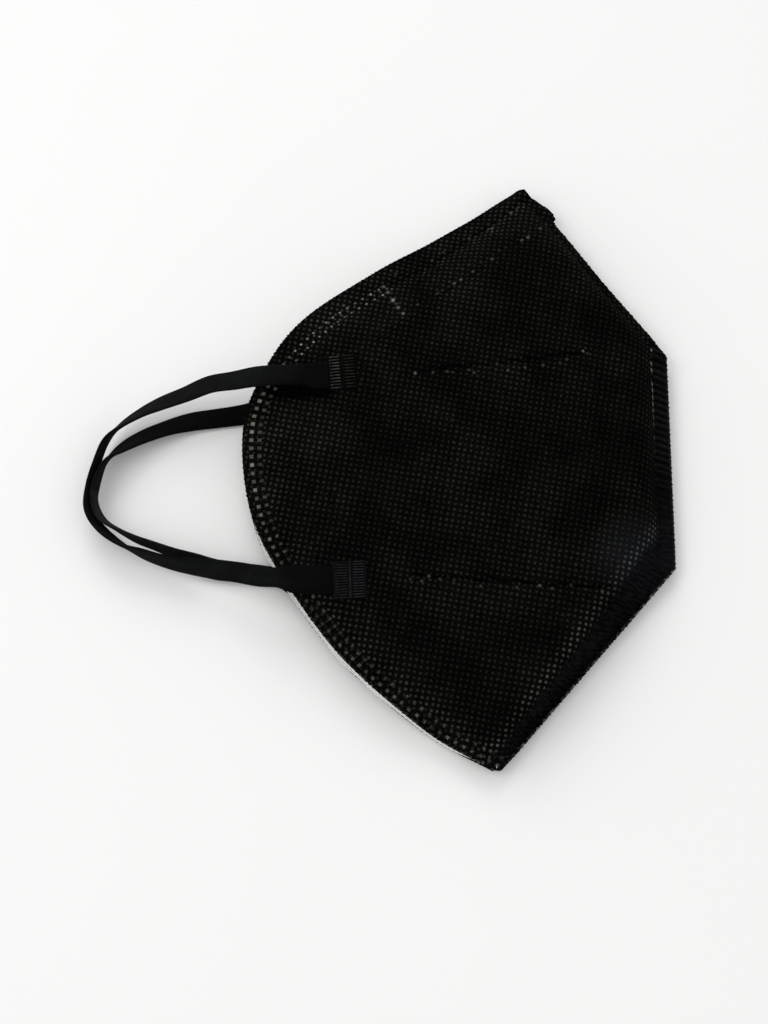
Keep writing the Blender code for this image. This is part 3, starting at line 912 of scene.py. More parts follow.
blackCloth = {
    "tint": (1.0, 1.0, 0.86),
    # coolTint is the cast of the painted sheen, also laid on the chin's roll and the front weld
    "coolTint": (0.90, 0.96, 1.12),
    "weld": (0.23, 0.225, 0.19),
    "weldRound": (0.34, 0.34, 0.30),
    "weldDim": (0.088, 0.084, 0.076),
    "weldLow": (0.18, 0.17, 0.15),
    "weldPale": (0.30, 0.27, 0.22),
    "specular": 0.010,
    # how bright each part of the cloth is
    "gap": 0.0001,
    "fibre": 0.0033,
    "point": 0.0118,
    # the glow of the painted sheen on the lower front corner
    "cornerShine": 0.0046,
    "stripe": 0.0030,
    "rib": (0.0034, 0.0060),  # at the lower and at the upper end of the front weld
    "dash": 0.20,
    "margin": 0.007,
    "channelPatch": 0.045,
    "fringe": 0.55,  # share of pale fibres along the chin weld's edge
    "faceFringe": 0.3,  # and what the lower face edge has of that
    # runs along the face edge between which its upper side, its lower side and half, and its corner begin
    "noseSide": (118.0, 132.0),
    "chinSide": (94.0, 70.0),
    "lowerHalf": (104.0, 80.0),
    "lowCorner": (80.0, 62.0),
    "belowChannel": (0.6, -1.2),
    # from, to and blur of the distances inside the front edge that the ribs cover, and inside the face edge
    # that the square welds cover
    "frontBand": (-3.0, 4.0, 0.5),
    "squareBand": (1.3, 4.9, 0.7),
    "ribRun": (-4.0, 56.6, 1.0),  # how far down the front edge the ribs reach, and the dashes
    "dashRun": (-1.5, 55.0, 1.0),
    "dashHeight": (5.3, 4.8),  # above the table, dashes on the steep side of the nose's roll are faint
    # the lattice of bonding points: pitch, size of a point and turn in degrees
    "pitch": 1.414,
    "size": 0.35,
    "turn": 10.2,
    "weldHalf": (0.28, 0.26),  # half the width of the squares in each row
    "weldBlur": 0.36,
    "bump": 0.00012,
    # painted light and shade: areas where the cloth is painted lighter or darker, as its gentle slopes catch
    # or miss the light: x, y, reach and share
    "paintedLightAreas": [
        (-21, -2, 20, 0.85), (0, -2, 14, -0.45), (54, 2, 24, -0.5), (-6, 38, 18, 0.9), (19, 45, 14, 0.35),
        (34, 58, 16, 0.2), (50, 36, 15, -0.3), (-9, -39, 11, 0.8), (61, -22, 9, -0.35),
        (36, -44, 14, -0.25),
    ],
    # a painted shadow, cast by the upper strap's end on the cloth below it
    "underStrap": ((-28.0, 16.0), (-12.2, 15.9)),  # the dark strip of cloth below the upper strap's end
    # a painted sheen on the lower front corner, where the cloth seems to catch a reflection
    "cornerSheen": (63.0, -26.0, 15.0),  # x, y and reach
    # spot welds of the upper tuck, the lower tuck, the channel's end, its lower line and its upper line
    "spots": [
        (8.6, 21.4, 0.6, 0.12), (13.1, 21.7, 0.6, 0.036), (16.6, 21.9, 0.6, 0.045), (18, 21.6, 0.5, 0.03),
        (22.1, 22.2, 0.6, 0.036), (23.3, 21.4, 0.6, 0.032), (29.1, 24.1, 0.6, 0.028),
        (31.8, 22.2, 0.6, 0.035), (36.1, 23, 0.6, 0.045), (40.6, 23.6, 0.6, 0.042),
        (44.9, 24.2, 0.6, 0.03), (46.7, 25.3, 0.6, 0.035), (50.8, 27.6, 0.5, 0.11),
        (51.9, 27, 0.45, 0.045),
        (7.1, -31.9, 0.6, 0.018), (9.9, -32.4, 0.6, 0.036), (11.6, -31.1, 0.6, 0.056),
        (14.3, -31.9, 0.6, 0.036), (17.6, -32.3, 0.5, 0.02), (24, -33.6, 0.6, 0.03),
        (28.6, -33.4, 0.5, 0.016), (32.6, -33.9, 0.6, 0.028), (38.1, -33.4, 0.65, 0.066),
        (41, -34.1, 0.6, 0.037), (45.6, -33.3, 0.6, 0.026), (49.2, -34.4, 0.5, 0.02),
        (53, -34.7, 0.6, 0.038),
        (0.8, 46.4, 0.7, 0.1), (1.9, 44.6, 0.7, 0.1), (3.1, 42.1, 0.75, 0.24), (4.4, 39.9, 0.7, 0.115),
        (5.7, 38, 0.7, 0.11), (4.1, 41, 0.5, 0.05),
        (9.4, 40.6, 0.6, 0.03), (14.6, 43.9, 0.6, 0.026), (18.7, 46.7, 0.65, 0.056),
        (20.5, 47.8, 0.65, 0.075), (23.6, 50.1, 0.65, 0.046), (28.6, 53.6, 0.65, 0.062),
        (30.5, 56.5, 0.6, 0.02), (32.3, 57.3, 0.6, 0.014), (36.4, 59.3, 0.65, 0.07),
        (38, 60.1, 0.65, 0.08), (41.3, 63.1, 0.65, 0.052), (43.2, 65.6, 0.6, 0.03),
        (3.9, 50.3, 0.6, 0.04), (13.3, 55, 0.6, 0.045), (16.2, 57.5, 0.6, 0.024), (23, 61.8, 0.6, 0.045),
        (29, 64.5, 0.65, 0.062), (34.1, 69.2, 0.65, 0.068), (35.6, 70.3, 0.5, 0.04),
    ],
}


def clothPlaces(tree):
    # a point's runs along the mask's edges and lines, its distances inside them, and the masks they give
    at = SimpleNamespace(where=objectPlace(tree))
    at.plan = flattened(tree, at.where)
    at.cloth = mapNode(tree, "clothMap")
    at.welds = mapNode(tree, "weldMap")
    at.run, at.inside = splitVector(tree, mapNode(tree, "faceMap"))[:2]
    at.insideWelds = splitVector(tree, at.welds)[1]
    at.channelRun, at.channelAcross = splitVector(tree, mapNode(tree, "channelMap"))[:2]
    at.down, leftOfFront = lineFrame(tree, *closedEdges["front"])
    at.inFront = times(tree, leftOfFront, -1.0)
    at.chinRun, leftOfChin = lineFrame(tree, *closedEdges["chin"])
    at.inChin = times(tree, leftOfChin, -1.0)
    at.noseSide = ramp(tree, at.run, *blackCloth["noseSide"])
    at.chinSide = ramp(tree, at.run, *blackCloth["chinSide"])
    at.belowChannel = ramp(tree, at.channelRun, *blackCloth["belowChannel"])
    at.frontBand = between(tree, at.inFront, *blackCloth["frontBand"])
    narrow, gain, power, reach = fold["chinRoll"][:4]
    shareLeft = calc(tree, "MULTIPLY_ADD", at.chinRun, -1 / reach, 1.0, clamp=True)
    rollWidth = calc(tree, "MULTIPLY_ADD", calc(tree, "POWER", shareLeft, power), gain, narrow)
    at.overRoll = calc(tree, "SUBTRACT", at.inChin, rollWidth)
    at.chinRoll = ramp(tree, at.overRoll, 0.2, -1.4)
    at.grain = noise(tree, at.where, 2.2, 2.0)
    at.coarse = ramp(tree, at.grain, 0.3, 0.7)
    return at


def pointLight(tree, at, cloud, sheen, paintedLightAreas):
    # how bright the lattice's points are: the product of what every mask makes of them where it is 0 and 1
    seam = between(tree, at.insideWelds, *blackCloth["squareBand"])
    seam = times(tree, seam, swing(tree, at.noseSide, 1.0, 0.0), at.belowChannel)
    lowFace = times(tree, ramp(tree, at.run, *blackCloth["lowCorner"]), bell(tree, at.inside, 3.6, 4.0))
    shares = (
        (cloud, 0.62, 1.35),  # large clouds
        (patches(tree, at.cloth, 0.55, 2.0, 0.3, 0.7), 0.75, 1.3),  # and small ones
        (at.frontBand, 1.0, 0.0),  # none among the ribs
        (at.chinRoll, 1.0, 0.25),
        # a painted highlight along the row where the cloth bends down into the chin's roll
        (bell(tree, at.overRoll, 0.9, 2.6), 1.0, 4.5),  # the bright row just above the chin's roll
        # the painted sheen of the lower front corner
        (sheen, 1.0, 1.4),
        (seam, 1.0, 0.3),  # between the square welds
        (bell(tree, at.inFront, 5.6, 2.2), 1.0, 1.5),  # behind the front weld
        (ramp(tree, at.inside, 1.4, 0.3), 1.0, 0.6),  # on the very edge of the face
        (bell(tree, at.inside, 3.0, 9.0), 1.0, 1.7),  # and close behind it
        (lowFace, 1.0, 1.7),
    )
    # the painted light and shade of the areas scales every point
    return times(tree, plus(tree, paintedLightAreas, 1.0), *(swing(tree, *share) for share in shares))


def rollStripes(tree, at):
    # fine stripes where the cloth rolls down to the chin weld: a noise drawn out along the roll
    x, y = splitVector(tree, turned(tree, at.where, math.radians(4.0)))[:2]
    stripe = patches(tree, joinVector(tree, times(tree, x, 0.3), y), 1.7, 1.0, 0.44, 0.62)
    return times(tree, at.chinRoll, swing(tree, stripe, 0.1, 1.0), blackCloth["stripe"])


def frontWeld(tree, at):
    # the sum of the slanted ribs, the bright dashes at their inner ends and the specks of the cut margin
    steep, change = relief["ribSlant"]
    slant = calc(tree, "MULTIPLY_ADD", at.down, change, steep)
    off, chance = beatOf(tree, plus(tree, at.down, times(tree, at.inFront, slant)), relief["ribPitch"])
    upper = ramp(tree, at.down, 46.0, 22.0)
    groove = times(tree, ramp(tree, calc(tree, "ABSOLUTE", off), 0.68, 0.3), swing(tree, upper, 0.45, 1.0))
    rib = times(
        tree, swing(tree, groove, 1.0, 0.02), swing(tree, chance, 0.5, 1.4), at.frontBand,
        between(tree, at.down, *blackCloth["ribRun"]), swing(tree, at.coarse, 0.4, 1.5),
        swing(tree, upper, *blackCloth["rib"]),
    )
    rare = calc(tree, "MULTIPLY_ADD", ramp(tree, at.down, 12.0, 44.0), 0.7, 0.1)
    height = splitVector(tree, at.where)[2]
    dash = times(
        tree,
        between(tree, off, -0.6, 0.22, 0.3),
        bell(tree, at.inFront, relief["seamLine"] - 0.1, 0.42),
        ramp(tree, chance, rare, plus(tree, rare, 0.3)),
        swing(tree, ramp(tree, at.down, 30.0, 8.0), 0.1, 1.0),
        between(tree, at.down, *blackCloth["dashRun"]),
        swing(tree, ramp(tree, height, *blackCloth["dashHeight"]), 0.05, 1.0),
    )
    margin = times(tree, between(tree, at.inFront, -1.0, 0.4, 0.3), at.grain, 1.6)
    return plus(tree, rib, times(tree, dash, blackCloth["dash"]), times(tree, margin, blackCloth["margin"]))


def tuckShade(tree, at, name):
    # a dark broken line beside a tuck: the share of the light that it leaves
    start, end = relief[name]
    along, across = lineFrame(tree, start, end)
    onTuck = between(tree, along, 0.0, math.dist(start, end), 2.0)
    wander = times(tree, calc(tree, "SUBTRACT", noise(tree, at.where, 0.3, 1.0), 0.5), 2.4)
    line = bell(tree, plus(tree, across, wander), 0.5, 0.8)
    return swing(tree, times(tree, line, onTuck, patches(tree, at.where, 0.9, 1.0, 0.38, 0.5)), 1.0, 0.1)


def channelShade(tree, at):
    # creases outside the channel's two lines: the share of the light that they leave
    crease = plus(tree, bell(tree, at.channelAcross, -0.9, 0.9), bell(tree, at.channelAcross, 8.9, 1.0))
    broken = patches(tree, at.where, 0.5, 1.0, 0.35, 0.6)
    return swing(tree, times(tree, crease, ramp(tree, at.channelRun, -0.3, 0.5), broken), 1.0, 0.25)


def channelPatches(tree, at, lattice):
    # patches along the channel's upper line where the points of the lattice are brighter
    off, chance = beatOf(tree, at.channelRun, 5.4, 0.3)
    return times(
        tree, bell(tree, at.channelAcross, 7.6, 1.9), bell(tree, off, 0.0, 2.4),
        ramp(tree, at.channelRun, -0.3, 0.3), lattice, swing(tree, chance, 0.2, 1.0),
        blackCloth["channelPatch"],
    )


def strapShade(tree):
    # the dark strip beside the upper strap: the share of the light that it leaves
    start, end = blackCloth["underStrap"]
    along, across = lineFrame(tree, start, end)
    strip = times(tree, bell(tree, across, 0.4, 2.7), between(tree, along, 0.0, end[0] - start[0], 4.0))
    return swing(tree, calc(tree, "MULTIPLY", strip, 1.5, clamp=True), 1.0, 0.12)


def squareWelds(tree, at, colour):
    # both rows of square welds over the cloth's colour: rounder towards the nose, broken up towards the chin
    look = blackCloth
    broken = patches(tree, at.where, 1.3, 2.0, 0.40, 0.56)
    uneven = swing(tree, times(tree, at.chinSide, calc(tree, "SUBTRACT", 1.0, broken)), 1.0, 0.25)
    dim = swing(tree, at.chinSide, 1.0, 0.7)
    lowerHalf = ramp(tree, at.run, *look["lowerHalf"])
    smaller = plus(tree, times(tree, at.noseSide, -0.22), times(tree, lowerHalf, -0.06))
    soft = swing(tree, patches(tree, at.where, 4.2, 1.0, 0.35, 0.6), 0.45, 1.0)
    # the squares of the second row are split along their middle, which keeps this share of their light
    for row, half, tone, kept in zip(relief["weldRows"], look["weldHalf"], ("weld", "weldDim"), (1.0, 0.35)):
        marks = useGroup(
            tree, weldSquares, Place=at.welds, Row=row, Pitch=relief["weldPitch"],
            Half=plus(tree, half, smaller), Blur=look["weldBlur"],
        )
        split = times(tree, bell(tree, at.insideWelds, row, 0.16), swing(tree, at.noseSide, 1.0, 0.0))
        share = times(
            tree, marks["Mask"], swing(tree, marks["Chance"], 0.3, 1.0), at.belowChannel, uneven, dim,
            swing(tree, split, 1.0, kept), soft,
        )
        weldColour = mixColour(tree, at.chinSide, look[tone], look["weldLow"])
        weldColour = mixColour(tree, at.noseSide, weldColour, look["weldRound"])
        colour = mixColour(tree, share, colour, weldColour)
    return colour


def wornFringe(tree, at):
    # the share of pale fibres on the very edge of the chin weld and of the lower face edge
    off, _ = beatOf(tree, at.chinRun, relief["chinRibPitch"])
    chin = times(
        tree, ramp(tree, at.inChin, 0.5, 0.1), swing(tree, bell(tree, off, 0.0, 0.8), 0.3, 1.0),
        patches(tree, at.where, 1.7, 2.0, 0.46, 0.64),
    )
    face = times(
        tree, ramp(tree, at.inside, 0.4, 0.05), at.chinSide, patches(tree, at.where, 1.2, 2.0, 0.48, 0.62),
        blackCloth["faceFringe"],
    )
    return times(tree, calc(tree, "MAXIMUM", chin, face), blackCloth["fringe"])


def makeBlackCloth():
    # grey = gaps + fibres + points + painted sheen + stripes + front weld, with the points and fibres scaled
    # by painted light and shade over areas, times the painted shade beside the tucks and in the creases,
    # with the spot welds added, then times the upper strap's painted shadow; the colours of the square welds
    # and of the fringe lie over it
    look = blackCloth
    material, tree, shader = newMaterial("black_spunbond", 0.8, look["specular"])
    at = clothPlaces(tree)
    turnedCloth = turned(tree, at.cloth, math.radians(look["turn"]))
    points = useGroup(tree, bondPoints, Place=turnedCloth, Pitch=look["pitch"], Size=look["size"])
    hairs = useGroup(tree, fibres, Place=at.cloth)
    lattice = times(tree, points["Mask"], points["Strength"], swing(tree, at.coarse, 0.55, 1.35))
    cloud = ramp(tree, hairs["Cloud"], 0.36, 0.66)
    # a painted sheen on the lower front corner: brighter points, a glow over the ground and a cool tint
    cornerX, cornerY, cornerReach = look["cornerSheen"]
    sheen = ramp(tree, distanceTo(tree, at.plan, cornerX, cornerY), cornerReach, 2.0)
    # painted light and shade over areas of the cloth, scaling its points and fibres
    paintedLightAreas = spotSum(tree, at.plan, look["paintedLightAreas"])
    speckle = patches(tree, at.where, 3.4, 2.0, 0.38, 0.7)
    ground = times(
        tree, plus(tree, hairs["Height"], speckle), swing(tree, cloud, 0.6, 1.3), 0.5 * look["fibre"],
        calc(tree, "MULTIPLY_ADD", paintedLightAreas, 0.5, 1.0), swing(tree, at.chinRoll, 1.0, 0.5),
    )
    bright = times(tree, lattice, pointLight(tree, at, cloud, sheen, paintedLightAreas), look["point"])
    shine = times(tree, sheen, swing(tree, at.chinRoll, 1.0, 0.35), look["cornerShine"])
    grey = plus(tree, look["gap"], ground, bright, shine, rollStripes(tree, at), frontWeld(tree, at))
    shades = (tuckShade(tree, at, "upperTuck"), tuckShade(tree, at, "lowerTuck"), channelShade(tree, at))
    grey = times(tree, grey, *shades)
    uneven = swing(tree, patches(tree, at.where, 2.6, 2.0, 0.35, 0.55), 0.35, 1.0)
    specks = times(tree, spotSum(tree, at.plan, look["spots"]), uneven)
    # the spot welds and channel patches are added, then all is darkened by the upper strap's painted shadow
    grey = times(tree, plus(tree, grey, specks, channelPatches(tree, at, lattice)), strapShade(tree))

    # the cool tint goes with the painted sheen, and also lies on the chin's roll and the front weld
    cool = plus(tree, sheen, times(tree, at.chinRoll, 0.5))
    cool = calc(tree, "MAXIMUM", times(tree, at.frontBand, 0.4), cool)
    colour = mixColour(tree, grey, (0.0, 0.0, 0.0), mixColour(tree, cool, look["tint"], look["coolTint"]))
    colour = squareWelds(tree, at, colour)
    colour = mixColour(tree, wornFringe(tree, at), colour, look["weldPale"])
    tree.links.new(colour, shader.inputs["Base Color"])
    tree.links.new(calc(tree, "MULTIPLY_ADD", lattice, -0.3, 0.85), shader.inputs["Roughness"])
    height = calc(tree, "MULTIPLY_ADD", lattice, -1.0, times(tree, hairs["Height"], 0.35))
    bumped(tree, shader, height, look["bump"])
    return material


whiteCloth = {
    "light": (0.86, 0.86, 0.84),
    "shade": (0.72, 0.72, 0.70),
    "specular": 0.25,
    "pitch": 1.2,
    "size": 0.22,
    "turn": 38.0,
    "unevenness": 0.2,
    "fineness": 6.0,
    "bump": 0.0001,
}


def makeWhiteCloth():
    # light fibres over a shaded ground, with the shaded points of its own lattice
    look = whiteCloth
    material, tree, shader = newMaterial("white_spunbond", 0.9, look["specular"])
    cloth = mapNode(tree, "clothMap")
    points = useGroup(
        tree, bondPoints, Place=turned(tree, cloth, math.radians(look["turn"])), Pitch=look["pitch"],
        Size=look["size"], Unevenness=look["unevenness"],
    )
    hairs = useGroup(tree, fibres, Place=cloth, Fineness=look["fineness"])
    colour = mixColour(tree, hairs["Height"], look["shade"], look["light"])
    colour = mixColour(tree, times(tree, points["Mask"], 0.5), colour, look["shade"])
    tree.links.new(colour, shader.inputs["Base Color"])
    height = calc(tree, "MULTIPLY_ADD", points["Mask"], -1.0, times(tree, hairs["Height"], 0.4))
    bumped(tree, shader, height, look["bump"])
    return material


elastic = {
    "dark": (0.0008, 0.0009, 0.0010),
    "light": (0.0198, 0.0212, 0.0218),
    "specular": 0.03,
    "sheen": 0.008,
    "wale": 0.52,  # width of a column of stitches
    "course": 0.46,  # length of a stitch
    "fineness": 7.0,
    "bump": 0.00012,
}


def makeElastic():
    # knit = ridges along the strap times slanted stitches; with hairs mixed in, worn and shaded by place
    look = elastic
    material, tree, shader = newMaterial("black_elastic_knit", 0.9, look["specular"], look["sheen"])
    strap = mapNode(tree, "strapMap")
    along, across = splitVector(tree, strap)[:2]
    wale = calc(tree, "ABSOLUTE", calc(tree, "SINE", times(tree, across, math.pi / look["wale"])))
    share = calc(tree, "FRACT", calc(tree, "DIVIDE", across, look["wale"]))
    slant = calc(tree, "ABSOLUTE", calc(tree, "SUBTRACT", share, 0.5))
    course = calc(tree, "MULTIPLY_ADD", slant, 0.7, calc(tree, "DIVIDE", along, look["course"]))
    knit = times(tree, wale, calc(tree, "ABSOLUTE", calc(tree, "SINE", times(tree, course, math.pi))))
    hairs = useGroup(tree, fibres, Place=strap, Fineness=look["fineness"])
    pale = calc(tree, "MULTIPLY_ADD", knit, 0.6, times(tree, hairs["Height"], 0.4))
    # tone is the strap's painted shade and light along its length, darker towards the pads
    tone, edgeShare = splitVector(tree, mapNode(tree, "shadeAndToneMap"))[:2]
    drawnOut = turned(tree, strap, scale=(0.16, 0.35, 1))
    worn = swing(tree, patches(tree, drawnOut, 1.0, 2.0, 0.35, 0.65), 0.75, 1.2)
    rim = swing(tree, ramp(tree, calc(tree, "ABSOLUTE", edgeShare), 0.55, 1.0), 1.0, 0.7)
    pale = times(tree, pale, worn, rim, tone, 0.5)
    tree.links.new(mixColour(tree, pale, look["dark"], look["light"]), shader.inputs["Base Color"])
    height = calc(tree, "MULTIPLY_ADD", knit, 1.0, times(tree, hairs["Height"], 0.5))
    bumped(tree, shader, height, look["bump"])
    return material


padLook = {
    # the valleys and the ridges of both columns, for the two upper pads and for the two lower ones
    "dark": (0.0008, 0.0008, 0.0008),
    "ridge": (0.045, 0.045, 0.043),
    "ridgeDim": (0.016, 0.016, 0.012),
    "darkLower": (0.0034, 0.0034, 0.0033),
    "ridgeLower": (0.016, 0.0165, 0.0175),
    "ridgeLowerDim": (0.019, 0.020, 0.026),
    "bump": 0.00004,
}


def makeMeltedWeld():
    # the ridges' tops are painted paler than the valleys as a shine, in patches; the second column is dimmer
    # than the first
    material, tree, shader = newMaterial("melted_weld", 0.5, 0.02)
    where = objectPlace(tree)
    share, high = splitVector(tree, mapNode(tree, "padMap"))[:2]
    haze = noise(tree, where, 0.8, 3.0)
    shine = times(tree, ramp(tree, high, 0.45, 1.0), swing(tree, ramp(tree, haze, 0.35, 0.65), 0.3, 1.0))
    second = ramp(tree, share, 0.46, 0.54)
    ridge = mixColour(tree, second, padLook["ridge"], padLook["ridgeDim"])
    ridgeLower = mixColour(tree, second, padLook["ridgeLower"], padLook["ridgeLowerDim"])
    onLower = splitVector(tree, mapNode(tree, "kindMap"))[0]
    ridge = mixColour(tree, onLower, ridge, ridgeLower)
    dark = mixColour(tree, onLower, padLook["dark"], padLook["darkLower"])
    tree.links.new(mixColour(tree, shine, dark, ridge), shader.inputs["Base Color"])
    tree.links.new(calc(tree, "MULTIPLY_ADD", haze, 0.4, 0.3), shader.inputs["Roughness"])
    bumped(tree, shader, noise(tree, where, 3.0, 2.0), padLook["bump"])
    return material


clothMaterial = makeBlackCloth()
liningMaterial = makeWhiteCloth()
elasticMaterial = makeElastic()
weldMaterial = makeMeltedWeld()
print("materials made")


# the mask's black cloth and white lining

leastHeight = 0.03  # the cloth's relief stays this far above the table


def layeredCloth(name, depths, start, insets, bands, innerBands, material, withRelief):
    # outer and inner face of one folded cloth, joined along the face edge and at the two tips; the relief
    # moves the outer face along its normals, less where it turns round the closed edge
    roundColumns = meshing["roundColumns"] if withRelief else 3
    outer, places, facing = foldedGrid(depths[0], start, insets[0], *bands, roundColumns)
    topColumns = len(bands[0][0]) + bands[0][2] + len(bands[0][1])
    flat = clothMapping(outer, places, topColumns, roundColumns)
    if withRelief:
        lift = clothRelief(outer[..., 0], outer[..., 1]) * np.abs(facing) ** 0.5
        normal = surfaceNormals(outer)
        normal *= np.sign(normal[:, :1, 2:])
        outer = outer + normal * lift[..., None]
        outer[..., 2] = np.maximum(outer[..., 2], leastHeight)
    inner = foldedGrid(depths[1], start, insets[1], *innerBands, 1)[0]
    outerNumber = pointNumbers(*outer.shape[:2])
    innerNumber = pointNumbers(*inner.shape[:2], outerNumber.size)
    faceSets = (
        gridFaces(outerNumber),
        gridFaces(innerNumber)[:, ::-1],
        stripFaces(innerNumber[:, 0], outerNumber[:, 0]),
        stripFaces(outerNumber[:, -1], innerNumber[:, -1]),
        zipFaces(outerNumber[0], innerNumber[0])[:, ::-1],
        zipFaces(outerNumber[-1], innerNumber[-1]),
    )
    points = np.vstack((outer.reshape(-1, 3), inner.reshape(-1, 3)))
    maps = {"clothMap": np.vstack((flat.reshape(-1, 2), inner[..., :2].reshape(-1, 2)))}
    mappings = {"faceMap": faceMapping, "weldMap": weldMapping, "channelMap": channelMapping}
    for title, mapping in mappings.items():
        maps[title] = np.stack(mapping(points[:, 0], points[:, 1]), axis=-1)
    return makeMesh(name, points, faceSets, material, maps)


# for both faces of a cloth, over the top and underneath: distances from the face edge, from the closed edge,
# and the number of even steps between
fineBands = (
    (meshing["faceBand"], meshing["closedBand"], meshing["middle"]),
    (meshing["faceBandBelow"], meshing["closedBandBelow"], meshing["middleBelow"]),
)
plainBands = ((np.array((0, 1.0, 3.0)), np.array((0, 3.0)), 5),) * 2
faceTeeth = -raggedEdge(runLength(rowFace)) * smoothStep(rowLength / ragged["calmBelow"])
shellInsets = (None, {"nose": 0.9, "front": 4.7, "chin": 2.2})
maskCloth = layeredCloth(
    "mask_cloth", (0.0, layers["shellWall"]), faceTeeth, shellInsets, fineBands, plainBands,
    clothMaterial, True,
)
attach(maskCloth, "root")
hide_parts("outer_shell")
print("mask cloth:", len(maskCloth.data.polygons), "faces")

lining = {
    "peek": 0.42,  # how far the white edge stands out past the black one along the lower left
    "peekEnds": (-74.0, -8.0),  # heights in the plan between which it stands out
    "setIn": 0.5,  # how far inside the black edge it stays elsewhere
    "insets": ({"nose": 2.8, "front": 5.4, "chin": 3.0}, {"nose": 3.6, "front": 6.2, "chin": 3.8}),
}
peekLow, peekHigh = lining["peekEnds"]
peekShare = smoothStep((rowFace[:, 1] - peekLow) / 3) * smoothStep((peekHigh - rowFace[:, 1]) / 12)
peekWaves = 0.65 + 0.35 * np.sin(rowFace[:, 1] * 0.5 + 1.5 * np.sin(rowFace[:, 1] * 0.23))
liningStart = lining["setIn"] - (lining["setIn"] + lining["peek"] * peekWaves) * peekShare
liningBands = (
    (np.array((0, 0.5, 1.5, 3.0, 6.0)), np.array((0, 1.0, 2.0, 3.5, 6.0)), 36),
    (np.array((0, 0.5, 1.5, 3.0, 6.0)), np.array((0, 1.0, 3.0, 6.0)), 24),
)
liningDepths = (layers["liningTop"], layers["liningTop"] + layers["liningWall"])
whiteLining = layeredCloth(
    "white_lining", liningDepths, liningStart, lining["insets"], liningBands, liningBands,
    liningMaterial, False,
)
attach(whiteLining, "root")
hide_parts("inner_lining")
print("lining:", len(whiteLining.data.polygons), "faces")


# ear loops

loop = {
    # distance from the upper and from the lower pad, and the strap's width there
    "startWidth": [(0.0, 7.2), (3.0, 7.2), (6.0, 5.7), (60.0, 5.7)],
    "endWidth": [(0.0, 7.2), (9.5, 7.2), (12.5, 5.15), (30.0, 5.2), (50.0, 5.7)],
    "layFlat": (4.0, 10.0),  # how far from each pad the upper loop's strap lies on the cloth
    "liftOver": 4.0,  # over what run it then rises to its own route and thickness
    "bedding": 0.12,  # how far over the cloth its underside lies there
    # how light the strap is at distances from its two pads: darker towards the pads; on the left strap,
    # painted shade where it runs under the mask and the near strap, and a painted highlight where its lower
    # arm stands on edge
    "tone": {
        "right": (
            [(0, 0.1), (6, 0.15), (11, 0.6), (18, 1.0)],
            [(0, 0.1), (8, 0.25), (13, 0.75), (24, 0.85), (40, 1.0)],
        ),
        "left": (
            [(0, 0.1), (24, 0.15), (36, 0.5), (54, 0.9)],
            [(0, 0.2), (30, 1.0), (40, 2.4), (60, 3.1), (76, 1.4)],
        ),
    },
    "thickness": 1.1,
    "tooth": 0.72,  # pitch of the knit's teeth along both edges
    "toothHeight": 0.13,
    "toothShift": 0.37,  # how far the second edge's teeth are from the first edge's, in pitches
    "drift": 0.10,  # how far the width wanders
    "waleWidth": 0.54,
    "waleHeight": 0.05,
    "waleSpread": 2.7,  # half the width over which the ribs are spaced
    "sectionPoints": 40,
    "stationStep": 0.18,
    "tuckedEnd": 0.5,  # how far the flattened ends run into the pads
    "endThickness": 0.45,
    # x, y, height of the strap's middle, and roll, which is 90 where the strap stands on its edge
    "right": [
        (-13.4, 20.8, 12.1, 0), (-21, 20.4, 12.9, 2), (-29.8, 20.1, 12.6, 4), (-36.6, 19.6, 10.9, 10),
        (-42.8, 19.4, 8.8, 14), (-49, 17.3, 7.4, 23), (-55.27, 15.27, 6.2, 32), (-60.12, 13.2, 5.4, 46),
        (-65.19, 9.95, 4.8, 62), (-68.88, 5.9, 4.4, 87), (-70.95, -0.07, 4.15, 94),
        (-72.35, -6.44, 4.15, 97), (-72, -12.42, 4.15, 108), (-68.76, -17.11, 4.15, 116),
        (-63.63, -21.09, 4.2, 106), (-58.16, -23.56, 4.3, 80), (-51.99, -25.73, 4.5, 70),
        (-45.96, -27.04, 5.3, 52), (-39.9, -28.2, 6.8, 28), (-33.95, -29.6, 8.9, 12),
        (-28.05, -31.15, 10.8, 4), (-20.5, -31.7, 12, 0), (-12, -31.9, 12.1, 0),
    ],
    "left": [
        (-13.9, 21, 0.85, 0), (-20, 19.8, 0.7, 0), (-27.3, 16.9, 0.65, 0), (-34.5, 14.6, 0.65, 2),
        (-41.5, 13.4, 0.8, 5), (-48, 12.3, 1.1, 10), (-54.02, 10.32, 1.9, 25), (-59.94, 7.6, 2.7, 33),
        (-64.86, 4.35, 3.5, 46), (-68.68, 0.57, 4.05, 78), (-70.6, -4.85, 4.15, 94),
        (-71, -9.43, 4.15, 98), (-69.01, -14.22, 4.15, 106), (-64.77, -17.26, 4.15, 98),
        (-60.24, -19.7, 4.15, 89), (-55.22, -21.56, 4.05, 84), (-50.48, -23.37, 3.7, 74),
        (-45.95, -25.12, 2.7, 46), (-41, -26.6, 1.4, 20), (-34.5, -27.25, 0.7, 3), (-27, -28.2, 0.65, 0),
        (-19.5, -30.1, 0.7, 0), (-11.6, -31.9, 0.85, 0),
    ],
}


def strapSection(points):
    # round the flat section: the width share is the cosine to the power 0.75, and the thickness share is 1
    # less the fifth power of that, to the power 0.6
    angle = np.linspace(0, 2 * math.pi, points, endpoint=False)
    across = np.sign(np.cos(angle)) * np.abs(np.cos(angle)) ** 0.75
    return across, np.sign(np.sin(angle)) * (1 - np.abs(across) ** 5) ** 0.6


